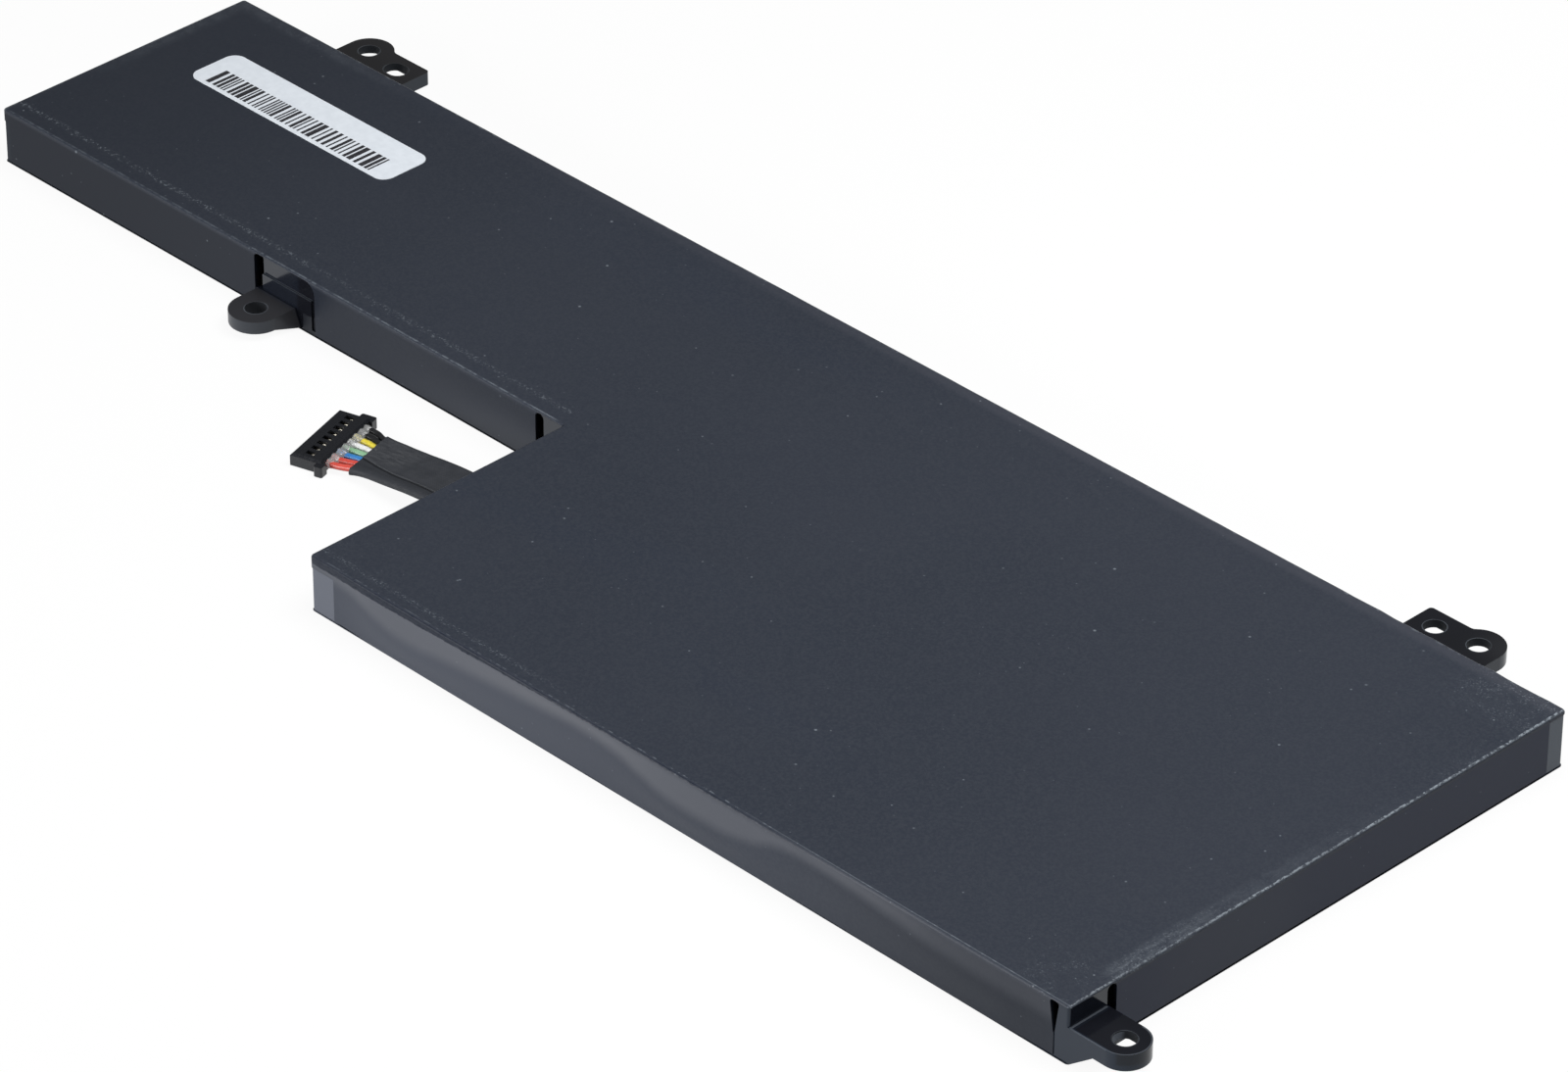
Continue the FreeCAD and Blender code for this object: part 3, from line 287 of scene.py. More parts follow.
# Darker and lighter tone of each colour of wire
INSULATION = {
    "red": ((0.52, 0.062, 0.046), (0.62, 0.086, 0.064)),
    "blue": ((0.036, 0.18, 0.47), (0.050, 0.23, 0.56)),
    "green": ((0.20, 0.40, 0.23), (0.27, 0.48, 0.29)),
    "white": ((0.72, 0.72, 0.72), (0.82, 0.82, 0.82)),
    "yellow": ((0.66, 0.54, 0.045), (0.76, 0.64, 0.075)),
    "black": ((0.010, 0.010, 0.011), (0.018, 0.018, 0.02)),
}

# The plain finish of each solid that stays, other than the cells
SOLID_FINISHES = {
    "cell_tapes": "tape", "positive_tabs": "tab", "negative_tabs": "nickel", "link_circuit": "amber",
    "weld_pads": "nickel", "tab_tapes": "amber", "temperature_sensor": "ceramic", "board": "board",
    "fuse": "ceramic", "power_switches": "chip", "sense_resistor": "chip", "gauge_chip": "chip",
    "capacitors": "ceramic", "solder_joints": "solder", "insulation_paper": "paper", "foam_strip": "foam",
    "plug_housing": "plug", "plug_terminals": "gold", "barcode_label": "label",
}
CELL_COUNT = 6


def at(x, y, z):
    """A point of the pack, given in millimetres from its own corner."""
    return (Vector((x, y, z)) - HOME) / 1000


def smoothstep(low, high, value):
    t = min(max((value - low) / (high - low), 0.0), 1.0)
    return t * t * (3 - 2 * t)


def along(points, place):
    """Value at a place on a polyline of pairs."""
    for (x0, v0), (x1, v1) in zip(points, points[1:]):
        if x0 <= place <= x1:
            return v0 + (v1 - v0) * (place - x0) / (x1 - x0)
    return points[0][1] if place < points[0][0] else points[-1][1]


# Shader arithmetic: a Field is one socket, and sums or products of Fields add Math nodes
class Field:
    def __init__(self, tree, socket):
        self.tree = tree
        self.socket = socket

    def math(self, operation, *others):
        node = self.tree.nodes.new("ShaderNodeMath")
        node.operation = operation
        for slot, value in zip(node.inputs, (self,) + others):
            if isinstance(value, Field):
                self.tree.links.new(value.socket, slot)
            else:
                slot.default_value = value
        return Field(self.tree, node.outputs[0])

    def __add__(self, other):
        return self.math("ADD", other)

    def __sub__(self, other):
        return self.math("SUBTRACT", other)

    def __mul__(self, other):
        return self.math("MULTIPLY", other)

    def __abs__(self):
        return self.math("ABSOLUTE")

    def max(self, other):
        return self.math("MAXIMUM", other)

    def min(self, other):
        return self.math("MINIMUM", other)

    def ramp(self, low, high, bottom=0.0, top=1.0):
        """Smooth step of this value from the bottom at low to the top at high."""
        node = self.tree.nodes.new("ShaderNodeMapRange")
        node.interpolation_type = "SMOOTHSTEP"
        self.tree.links.new(self.socket, node.inputs[0])
        for slot, value in zip(node.inputs[1:5], (low, high, bottom, top)):
            slot.default_value = value
        return Field(self.tree, node.outputs[0])

    def near(self, place, half, soft):
        """One within half of a place, falling to nothing over the soft distance beyond."""
        return abs(self - place).ramp(half + soft, half)


class Finish:
    """A node-based material under construction, whose x, y and z are millimetres of the pack."""

    def __init__(self, name):
        self.material = bpy.data.materials.new(name)
        self.material.use_nodes = True
        self.tree = self.material.node_tree
        self.shader = self.tree.nodes["Principled BSDF"]
        self.tone = None
        self.relief = None
        coordinates = self.new("ShaderNodeTexCoord")
        scale = self.new("ShaderNodeVectorMath")
        scale.operation = "MULTIPLY_ADD"
        self.link(coordinates.outputs["Object"], scale.inputs[0])
        scale.inputs[1].default_value = (1000, 1000, 1000)
        scale.inputs[2].default_value = HOME
        self.place = scale.outputs[0]
        parts = self.new("ShaderNodeSeparateXYZ")
        self.link(self.place, parts.inputs[0])
        self.x, self.y, self.z = (Field(self.tree, socket) for socket in parts.outputs)

    def new(self, kind):
        return self.tree.nodes.new(kind)

    def link(self, a, b):
        self.tree.links.new(a, b)

    def stretched(self, scale, turn=0.0):
        """The place in millimetres, scaled per axis."""
        mapping = self.new("ShaderNodeMapping")
        mapping.inputs["Rotation"].default_value = (0, 0, turn)
        mapping.inputs["Scale"].default_value = scale
        self.link(self.place, mapping.inputs["Vector"])
        return mapping.outputs[0]

    def noise(self, scale, detail, rough, seed, vector=None):
        node = self.new("ShaderNodeTexNoise")
        node.noise_dimensions = "4D"
        node.inputs["W"].default_value = seed
        node.inputs["Scale"].default_value = scale
        node.inputs["Detail"].default_value = detail
        node.inputs["Roughness"].default_value = rough
        self.link(vector or self.place, node.inputs["Vector"])
        return Field(self.tree, node.outputs["Fac"])

    def specks(self, size, seed, outer, inner, rare, common, strength):
        """Round specks in random cells of a size: none past the outer radius, whole within the inner one,
        and none where the cell's random number is under rare, in full where it is over common."""
        shift = self.new("ShaderNodeVectorMath")
        shift.operation = "ADD"
        self.link(self.place, shift.inputs[0])
        shift.inputs[1].default_value = (seed * 37.3, seed * 11.9, seed * 5.7)
        node = self.new("ShaderNodeTexVoronoi")
        node.inputs["Scale"].default_value = 1 / size
        self.link(shift.outputs[0], node.inputs["Vector"])
        parts = self.new("ShaderNodeSeparateColor")
        self.link(node.outputs["Color"], parts.inputs[0])
        distance = Field(self.tree, node.outputs["Distance"]) * size
        pick = Field(self.tree, parts.outputs[0])
        return distance.ramp(outer, inner) * pick.ramp(rare, common) * strength

    def near_any(self, centres, reach, hollow=0.0):
        """One within a reach of any upright axis through the centres, outside a hollow if there is one."""
        nearest = None
        for x, y in centres:
            across, ahead = self.x - x, self.y - y
            square = across * across + ahead * ahead
            nearest = square if nearest is None else nearest.min(square)
        away = nearest.math("SQRT")
        disc = away.ramp(reach, reach - 0.12)
        return disc * away.ramp(hollow, hollow + 0.05) if hollow else disc

    def curve(self, field, points, top):
        """Smooth curve through pairs of place and value, with values between nought and the top."""
        low, high = points[0][0], points[-1][0]
        node = self.new("ShaderNodeFloatCurve")
        line = node.mapping.curves[0]
        while len(line.points) < len(points):
            line.points.new(0.5, 0.5)
        for slot, (place, value) in zip(line.points, points):
            slot.location = ((place - low) / (high - low), value / top)
        node.mapping.update()
        self.link(((field - low) * (1 / (high - low))).socket, node.inputs["Value"])
        return Field(self.tree, node.outputs[0]) * top

    def mixed(self, share, colour):
        """A Mix node that goes over to a colour by a share."""
        node = self.new("ShaderNodeMix")
        node.data_type = "RGBA"
        node.clamp_factor = True
        self.link(share.socket, node.inputs[0])
        node.inputs[7].default_value = (*colour, 1)
        return node

    def ground(self, share, dark, light):
        """The first tone, between two colours."""
        node = self.mixed(share, light)
        node.inputs[6].default_value = (*dark, 1)
        self.tone = node.outputs[2]

    def cover(self, share, colour):
        """A colour over the tone so far, as strong as the share says."""
        node = self.mixed(share, colour)
        self.link(self.tone, node.inputs[6])
        self.tone = node.outputs[2]

    def bump(self, field, height, strength):
        """Relief of a height in millimetres where the field is one, over the relief so far."""
        node = self.new("ShaderNodeBump")
        node.inputs["Distance"].default_value = height / 1000
        node.inputs["Strength"].default_value = strength
        self.link(field.socket, node.inputs["Height"])
        if self.relief:
            self.link(self.relief, node.inputs["Normal"])
        self.relief = node.outputs[0]

    def done(self, rough, **values):
        """The material, with its tone and relief, its roughness, and plain values for other inputs."""
        inputs = self.shader.inputs
        self.link(self.tone, inputs["Base Color"])
        self.link(self.relief, inputs["Normal"])
        self.link(rough.socket, inputs["Roughness"])
        for name, value in values.items():
            inputs[name.replace("_", " ").title().replace("Ior", "IOR")].default_value = value
        return self.material


def on_top(f):
    """One on the pack's top, nothing on its sides."""
    return f.z.ramp(PACK_HEIGHT - 0.5, PACK_HEIGHT - 0.3)


def film_finish():
    """Dark slate film: a mottled top darkened towards the arm's end by painted shade, sides in painted light and
    shade, its slack front with a painted highlight, painted light and shade on some edges, and wear.
    """
    f = Finish("film_finish")
    broad = f.noise(0.018, 2.0, 0.5, 3.1)
    band = f.noise(1.0, 2.0, 0.5, 7.7, f.stretched((0.010, 0.04, 0.04), 0.5))
    grain = f.noise(2.1, 3.0, 0.8, 1.3)
    f.ground(broad.ramp(0.3, 0.7), FILM_DARK, FILM_LIGHT)
    f.cover(band.ramp(0.52, 0.75) * 0.4, FILM_BLUE_BAND)
    f.cover(grain.ramp(0.38, 0.64) * 0.56, FILM_GRAIN)

    # Painted highlight: a lighter band along the fold of the back edge, stronger to the right
    back_fold_highlight = f.y.ramp(PACK_WIDTH - 2.8, PACK_WIDTH - 1.4) * f.x.ramp(40, 180, 0.10, 0.30)
    f.cover(back_fold_highlight * f.z.ramp(PACK_HEIGHT - 0.4, PACK_HEIGHT - 0.2), BACK_FOLD_HIGHLIGHT)
    # Painted shade: a dark line along the block's edge over the step
    step_edge_shade = f.x.near(ARM_LENGTH + 0.1, 0.12, 0.16) * f.y.ramp(STEP_Y + 0.5, STEP_Y - 0.5)
    f.cover(step_edge_shade * 0.85, STEP_EDGE_SHADE)
    # Painted shade: the top darkens towards the arm's end
    f.cover(f.x.ramp(90, 0, 0.0, 0.45), ARM_END_SHADE)

    front_strip = f.y.ramp(0.32, 0.08) * f.x.ramp(ARM_LENGTH - 1, ARM_LENGTH)
    film_sides(f, front_strip)
    slack_front(f, front_strip)
    f.cover(wear_marks(f), WORN_WHITE)
    f.bump(grain, 0.006, 0.6)
    return f.done(grain.ramp(0.2, 0.8, 0.34, 0.42), specular_ior_level=0.13)


def film_sides(f, front_strip):
    """The flaps, in painted light and shade: a front lighter than the top that darkens to the right, a darker, bluish
    right end with a painted reflection, a dark side of the arm with painted light near the step, and a painted shadow
    at their foot.
    """
    on_side = f.z.ramp(PACK_HEIGHT - 0.3, PACK_HEIGHT - 0.9)
    front = front_strip * on_side
    right = f.x.ramp(PACK_LENGTH - 0.3, PACK_LENGTH - 0.05) * on_side
    arm_side = f.y.near(STEP_Y, 1.0, 1.0) * f.x.ramp(ARM_LENGTH + 1, ARM_LENGTH - 1) * on_side
    # Painted light: the front side is made lighter than the top, most at its left
    f.cover(front * f.x.ramp(240, 135, 0.08, 0.84) * f.x.ramp(124, 150, 0.72, 1.0), FRONT_PAINTED_LIGHT)
    # Painted shade: the front side darkens towards its right end
    f.cover(front * f.x.ramp(212, 258) * 0.62, FRONT_PAINTED_SHADE)
    # Painted shade: the right side darker and bluer than the top
    f.cover(right, RIGHT_SIDE_SHADE)
    # Painted reflection: a cloudy lighter patch in the middle of the right side
    f.cover(right * f.y.near(30.0, 5.0, 14.0) * 0.30, RIGHT_SIDE_REFLECTION)
    # Painted shade: the arm's side darkens, most towards the arm's end
    f.cover(arm_side * f.x.ramp(125, 0, 0.45, 0.95), ARM_SIDE_SHADE)
    # Painted light: the arm's side lighter near the step and towards its foot
    f.cover(arm_side * f.x.ramp(80, 120) * f.z.ramp(7.5, 0.5) * 0.75, ARM_SIDE_PAINTED_LIGHT)
    # Painted shadow: a dark line at the foot of the right and arm sides, where they meet the table
    f.cover(right.max(arm_side) * f.z.ramp(0.50, 0.22) * 0.9, SOLE_SHADOW)


def slack_front(f, front_strip):
    """The painted highlight on the band where the front slopes out, and the painted shade on the ragged line of the
    fold above it.
    """
    slack = f.curve(f.x, FRONT_SLACK, top=10.0)
    # Painted highlight: lighter where the front slopes out below its fold
    sloped_highlight = (f.z - slack).ramp(-1.2, 1.2) * f.z.ramp(PACK_HEIGHT, PACK_HEIGHT - 1.2, 0.66, 1.0)
    f.cover(front_strip * (sloped_highlight * f.curve(f.x, FRONT_HIGHLIGHT, top=1.0)), SLACK_HIGHLIGHT)

    grain = f.noise(1.0, 4.0, 0.7, 6.6, f.stretched((1.1, 1.0, 3.0)))
    fold_foot = f.x.ramp(126, 185, 7.80, 8.76) + (grain - 0.5) * 0.5
    # Painted shade: the ragged, rounded fold over the front is darkened
    fold = (f.z - fold_foot).ramp(-0.05, 0.14) * front_strip
    fold = fold * f.z.ramp(PACK_HEIGHT + 0.02, PACK_HEIGHT - 0.05)
    f.cover(fold * f.x.ramp(240, 200) * grain.ramp(0.30, 0.60, 1.0, 0.82), FOLD_SHADE)


def wear_marks(f):
    """Whitish wear: fine lines on the folds, rubbed corners and edges, and dust."""
    marks = fold_lines(f).max(rubbed_places(f))
    for size, radius, seed, strength in DUST:
        marks = marks.max(f.specks(size, seed, radius * 1.7, radius * 0.6, 0.40, 0.70, strength))
    return marks


def fold_lines(f):
    """Fine broken lines along the folds, and fainter ones beside those of the arm and the block."""
    on_block = f.x.ramp(ARM_LENGTH, ARM_LENGTH + 1)
    on_arm = f.x.ramp(ARM_LENGTH - 1, ARM_LENGTH - 2)
    along_x = f.noise(1.0, 3.0, 0.6, 5.2, f.stretched((0.9, 0.5, 0.3)))
    along_y = f.noise(1.0, 3.0, 0.6, 8.4, f.stretched((0.5, 0.8, 0.3)))
    slow_x = f.noise(1.0, 1.0, 0.5, 2.2, f.stretched((0.03, 0.02, 0.02)))
    slow_y = f.noise(1.0, 1.0, 0.5, 4.9, f.stretched((0.02, 0.06, 0.02)))
    chips = f.noise(1.0, 4.0, 0.7, 8.4, f.stretched((2.2, 1.5, 1.0)))
    wobble = (slow_x - 0.5) * 0.35

    dashes = along_x.ramp(0.50, 0.60).max(f.x.ramp(200, 225, 0.0, 0.55))
    front = f.y.near(0.40, 0.03, 0.10) * on_block * dashes * f.x.ramp(150, 215, 0.16, 0.34)
    right = (f.x + (chips - 0.5) * 0.55).near(PACK_LENGTH - 0.27, 0.08, 0.16)
    right = right * chips.ramp(0.44, 0.56, 0.12, 1.0) * slow_y.ramp(0.3, 0.6, 0.35, 0.75)
    arm = (f.y + (chips - 0.5) * 0.3).near(STEP_Y + 0.34, 0.06, 0.12) * on_arm
    arm = arm * along_x.ramp(0.40, 0.60, 0.15, 1.0) * f.x.ramp(40, 75, 0.14, 0.30)
    beside_arm = (f.y - wobble).near(STEP_Y + 3.1, 0.20, 0.6) * on_arm
    beside_arm = beside_arm * f.noise(3.0, 2.0, 0.7, 4.1).ramp(0.52, 0.66)
    beside_arm = beside_arm * slow_x.ramp(0.3, 0.55, 0.35, 1.0) * 0.34
    beside_front = (f.y + wobble).near(2.2, 0.15, 0.6) * f.x.ramp(185, 150) * on_block
    beside_front = beside_front * f.noise(3.2, 2.0, 0.6, 3.7).ramp(0.52, 0.68) * 0.30
    back = f.y.near(PACK_WIDTH - 0.45, 0.04, 0.14) * along_x.ramp(0.54, 0.68) * 0.25
    end = f.x.near(0.5, 0.05, 0.15) * along_y.ramp(0.5, 0.66) * 0.2
    lines = front.max(right).max(arm).max(beside_arm).max(beside_front).max(back).max(end)
    return lines * on_top(f)


def rubbed_places(f):
    """Hazy, dusty rubbing along the right edge, at three corners and round the arm's end, with crumbs."""
    dust = f.noise(3.6, 2.0, 0.7, 9.1)
    cloud = f.noise(0.55, 3.0, 0.6, 6.4)
    haze = f.noise(1.0, 3.0, 0.6, 2.9, f.stretched((1.1, 0.35, 1.0)))

    right_band = f.x.ramp(PACK_LENGTH - 3.6, PACK_LENGTH - 1.8)
    near_lug = f.y.ramp(6.5, 11.0) * f.y.ramp(34.0, 15.0, 0.35, 1.0) * f.y.ramp(75.0, 30.0)
    beside_lug = right_band * near_lug * (haze.ramp(0.32, 0.68) * 0.14 + dust.ramp(0.52, 0.70) * 0.26)
    further_on = right_band * f.y.near(62.0, 10.0, 34.0)
    further_on = further_on * cloud.ramp(0.45, 0.7) * dust.ramp(0.50, 0.72) * 0.22
    lug_corner = f.x.near(PACK_LENGTH - 4, 3.5, 6.0) * f.y.near(4.5, 3.5, 4.0)
    at_lug = lug_corner * cloud.ramp(0.44, 0.66) * dust.ramp(0.53, 0.70) * 0.26
    far_corner = f.x.near(PACK_LENGTH - 6, 3.0, 9.0) * f.y.near(PACK_WIDTH - 3, 2.5, 6.0)
    at_far = far_corner * (cloud.ramp(0.40, 0.62) * dust.ramp(0.54, 0.66) * 0.34 + 0.01)
    step_corner = f.x.near(ARM_LENGTH + 4, 4.0, 5.0) * f.y.near(3.5, 2.5, 4.0)
    at_step = step_corner * cloud.ramp(0.46, 0.66) * dust.ramp(0.54, 0.72) * 0.16
    arm_end = f.x.ramp(3.4, 1.4) * f.y.ramp(58, 80)
    arm_end = arm_end.max(f.y.ramp(PACK_WIDTH - 3.4, PACK_WIDTH - 1.6) * f.x.ramp(46, 18))
    at_end = arm_end * (cloud.ramp(0.35, 0.65) * 0.045 + dust.ramp(0.56, 0.70) * 0.10 + 0.015)
    rubbed = beside_lug.max(further_on).max(at_lug).max(at_far).max(at_step).max(at_end)

    by_edges = f.x.near(PACK_LENGTH - 4, 4.0, 9.0) * f.y.near(PACK_WIDTH - 4, 4.0, 9.0)
    by_edges = by_edges.max(far_corner).max(f.x.near(5.0, 5.0, 8.0) * f.y.near(STEP_Y + 3, 3.0, 5.0))
    on_arm = f.x.ramp(ARM_LENGTH - 1, ARM_LENGTH - 2)
    by_edges = by_edges.max(lug_corner).max(f.y.near(STEP_Y + 2.5, 2.0, 3.0) * on_arm * 0.4)
    crumbs = f.specks(1.3, 4.0, 0.20, 0.08, 0.45, 0.95, 0.46)
    return rubbed.max(crumbs * by_edges) * on_top(f)


def frame_finish():
    """Moulded dark plastic: bare corner strips with a painted reflection, lugs, bores in painted shade, glossy walls
    and fine lit edges.
    """
    f = Finish("frame_finish")
    grain = f.noise(3.5, 3.0, 0.6, 2.0)
    cloud = f.noise(0.08, 2.0, 0.5, 4.0)
    f.ground(cloud.ramp(0.3, 0.7), FRAME_DARK, FRAME_LIGHT)
    arm_lug = f.x.near(62.9, 6.0, 1.0) * f.y.ramp(STEP_Y - 0.1, STEP_Y - 0.3)
    f.cover(arm_lug, ARM_LUG_FLAT)
    below_top = f.z.ramp(ARM_LUG_TOP - 0.01, ARM_LUG_TOP - 0.1)
    f.cover(arm_lug * below_top * f.y.ramp(STEP_Y - 3.0, STEP_Y - 6.0), ARM_LUG_SIDE)

    # Painted reflection: the bare frame strips at the step's front and the far right corner are lightened as if
    # mirroring the table
    f.cover(f.x.near(ARM_LENGTH, 5.0, 1.0) * f.y.ramp(1.4, 0.6), FRONT_STRIP_REFLECTION)
    right_end = f.x.ramp(PACK_LENGTH - 1.2, PACK_LENGTH - 0.6)
    f.cover(right_end * f.y.ramp(PACK_WIDTH - 5, PACK_WIDTH - 4), RIGHT_STRIP_REFLECTION)
    back_lug_tones(f)

    bores = f.near_any(LUG_HOLES, 1.78)
    # Painted shade: the bores are darkened
    f.cover(bores * 0.8, BORE_SHADE)
    lit_bore = f.near_any([CORNER_LUG_HOLE], 1.74) * (f.x + f.y).ramp(278.2, 277.0)
    f.cover(lit_bore * f.z.ramp(CORNER_LUG_TOP - 0.1, CORNER_LUG_TOP - 0.2), BORE_LIT)

    lug_side = f.z.ramp(4.4, 3.9) * f.x.ramp(PACK_LENGTH, PACK_LENGTH + 0.3)
    lug_side = lug_side.max(f.y.ramp(0.6, 0.3) * f.x.ramp(PACK_LENGTH - 8, PACK_LENGTH - 7))
    f.cover(lug_side, LUG_SIDE_BLUE)
    bare_end = f.x.near(0.0, 4.0, 1.0) * f.y.near(STEP_Y, 1.0, 0.5)
    f.cover(bare_end, BARE_END)
    corner_wall = f.x.near(PACK_LENGTH, 0.5, 0.1) * f.y.ramp(16.0, 15.0) * f.y.ramp(0.4, 0.6)
    arm_wall = f.y.near(STEP_Y, 0.6, 0.1) * f.x.near(38.0, 28.0, 1.0).max(f.x.near(110.0, 12.5, 0.5))
    f.cover(corner_wall.max(arm_wall) * 0.22, WALL_BLUE)
    f.cover(lit_edges(f), EDGE_LIGHT)
    f.cover(f.specks(4.0, 3.0, 0.09, 0.04, 0.6, 0.9, 0.25), SPECK_GREY)

    beside_flare = f.y.near(STEP_Y, 0.7, 0.1) * f.x.near(69.0, 1.2, 0.2)
    beside_flare = beside_flare * f.z.ramp(ARM_LUG_TOP, ARM_LUG_TOP - 0.6)
    dull = bores.max(bare_end).max(beside_flare) * 0.5
    f.link((corner_wall * 0.20).max(arm_wall * 0.34).socket, f.shader.inputs["Coat Weight"])
    f.bump(grain, 0.004, 0.4)
    return f.done(
        cloud.ramp(0.3, 0.7, 0.10, 0.15) + dull + arm_lug * 0.25,
        specular_ior_level=0.30, coat_roughness=0.12, specular_tint=(0.80, 0.90, 1.0, 1.0),
    )


def back_lug_tones(f):
    """The two lugs on the back edge: the left one's top is lighter, and so is the right one's lobe."""
    lugs = f.y.ramp(PACK_WIDTH + 0.1, PACK_WIDTH + 0.5)
    tops = lugs * f.z.ramp(BACK_LUG_TOP - 0.15, BACK_LUG_TOP - 0.05)
    f.cover(lugs, BACK_LUG_SIDE)
    f.cover(tops * f.x.ramp(150, 100), LEFT_LUG_FLAT)
    f.cover(tops * f.x.ramp(100, 150), RIGHT_LUG_FLAT)
    f.cover(tops * (f.x.ramp(243, 252) * f.y.ramp(PACK_WIDTH + 2, PACK_WIDTH + 9)), RIGHT_LUG_LOBE)


def lit_edges(f):
    """Fine lit lines: the bores' rims, the corner lug's edge and root, and the foot of the arm's pad."""
    patches = f.noise(0.32, 1.0, 0.5, 7.1).ramp(0.35, 0.6, 0.25, 1.0)
    rims = f.near_any(LUG_HOLES, 1.86, 1.65) * f.z.ramp(ARM_LUG_TOP - 0.3, ARM_LUG_TOP - 0.1) * patches
    lobe_middle = CORNER_LUG_HOLE[0]
    lobe = f.near_any([CORNER_LUG_HOLE], CORNER_LUG_RADIUS, CORNER_LUG_RADIUS - 0.27)
    lobe = lobe * f.x.ramp(lobe_middle - 0.5, lobe_middle)
    lobe = lobe.max(f.y.near(0.22, 0.08, 0.08) * f.x.near(lobe_middle - 3.1, 3.0, 0.2))
    lobe = lobe * f.z.ramp(CORNER_LUG_TOP - 0.08, CORNER_LUG_TOP - 0.02)
    root = f.x.near(PACK_LENGTH, 0.16, 0.06) * f.z.near(CORNER_LUG_TOP, 0.04, 0.05) * f.y.near(3.6, 3.3, 0.2)
    pad = f.y.near(STEP_Y, 0.7, 0.1) * f.z.near(ARM_PAD_TOP, 0.04, 0.05) * f.x.near(64.0, 5.4, 0.3)
    return (rims * 0.42).max(lobe * 0.36).max(root * 0.45).max(pad * 0.25)


def plain_finish(name, dark, light, rough=0.5, grain_size=0.5, relief=0.01, metal=0.0, **values):
    """Two close tones mottled by a grain of the given size in millimetres."""
    f = Finish(name)
    grain = f.noise(1 / grain_size, 3.0, 0.6, len(name) * 1.7)
    f.ground(grain.ramp(0.3, 0.7), dark, light)
    f.bump(grain, relief, 0.5)
    return f.done(grain.ramp(0.25, 0.75, rough - 0.05, rough + 0.07), metallic=metal, **values)


def sleeve_finish():
    """Dark cloth tape: a fine weave, its overlapped edge with a painted shadow beside it, and a rubbed, dusty middle.
    """
    f = Finish("sleeve_finish")
    weave = ((f.x * 15.0).math("SINE") * (f.y * 15.0).math("SINE")) * 0.5 + 0.5
    cloud = f.noise(0.5, 3.0, 0.6, 6.0)
    fibres = f.noise(1.0, 3.0, 0.7, 3.3, f.stretched((0.7, 3.4, 2.0), 0.15))
    f.ground(cloud.ramp(0.3, 0.7), CLOTH_DARK, CLOTH_LIGHT)
    f.cover(weave * 0.25, CLOTH_THREAD)
    rubbed = f.x.near(104.5, 2.0, 4.5) * f.y.near(32.0, 1.5, 3.0)
    f.cover(rubbed * fibres.ramp(0.35, 0.7) * 0.55, CLOTH_RUBBED)
    from_seam = f.y - f.curve(f.x, SLEEVE_SEAM, top=40.0)
    f.cover(from_seam.ramp(0.05, -0.05) * 0.45, CLOTH_BELOW)
    # Painted shadow: a dark line just beside the edge of the overlapping cloth
    f.cover((from_seam + 0.16).near(0.0, 0.08, 0.16) * f.z.ramp(0.6, 1.2) * 0.85, SEAM_SHADOW)
    f.cover(f.specks(2.6, 5.0, 0.20, 0.08, 0.62, 0.92, 0.50), CLOTH_DUST)
    f.bump(weave, 0.015, 0.5)
    f.bump(fibres, 0.02, 0.4)
    return f.done(fibres.ramp(0.3, 0.7, 0.55, 0.75), specular_ior_level=0.25)


def paint(name, material):
    """Gives a CAD node one material."""
    slots = nodes[name].data.materials
    slots.clear()
    slots.append(material)


# Meshes and pieces
def skin(mesh, rings):
    """Faces between rings of points, and one across each end."""
    faces = []
    for first, second in zip(rings, rings[1:]):
        for k in range(len(first)):
            other = (k + 1) % len(first)
            faces.append(mesh.faces.new((first[k], first[other], second[other], second[k])))
    return faces + [mesh.faces.new(rings[0][::-1]), mesh.faces.new(rings[-1])]


def smooth(mesh):
    for face in mesh.faces:
        face.smooth = True


def mesh_data(name, mesh, *materials):
    data = bpy.data.meshes.new(name)
    mesh.to_mesh(data)
    mesh.free()
    for material in materials:
        data.materials.append(material)
    return data


def add_object(name, data):
    piece = bpy.data.objects.new(name, data)
    bpy.context.scene.collection.objects.link(piece)
    return piece


def add_piece(name, data, slot, stands_for=None):
    """Adds a piece of the pack in one of the record's material slots, in place of a solid if one is named."""
    piece = add_object(name, data)
    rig.ride(piece, "root")
    if stands_for:
        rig.replaces(piece, stands_for)
    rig.slot(piece, slot)
    return piece


# The lead's eight wires, on the points that the solids follow
WIRES = ["red_1", "red_2", "blue", "green", "white", "yellow", "black_1", "black_2"]
WIRE_LENGTHS = [32.1, 32.4, 32.8, 33.2, 33.6, 34.0, 34.5, 35.0]
WIRE_RADIUS = 0.525
WIRE_PITCH = 1.1
WIRE_START_X = 128.72
LEAD_Y = 30.95
LEAD_TURN = (22.0, 2.54)
LEAD_ROUTE = [(1.2, 0.0), (8.6, 0.53), (15.3, 1.68)]
BOARD_TOP = 3.2
PLUG_X = 91.6
PLUG_Y = 28.7
PLUG_ANGLE = math.radians(17.1)
PLUG_DEPTH = 5.3
PLUG_MIDDLE_Z = 1.0
PLUG_STRAIGHT = 1.8
TERMINAL_PITCH = 1.5
TERMINAL_END = 4.2


def plug_point(u, v, z):
    """A point of the plug: u from its face towards the wires, v along its row of terminals."""
    x = PLUG_X + u * math.cos(PLUG_ANGLE) - v * math.sin(PLUG_ANGLE)
    y = PLUG_Y + u * math.sin(PLUG_ANGLE) + v * math.cos(PLUG_ANGLE)
    return at(x, y, z)


def from_middle(index):
    """Place of a wire or terminal in its row, in steps from the middle."""
    return index - (len(WIRES) - 1) / 2


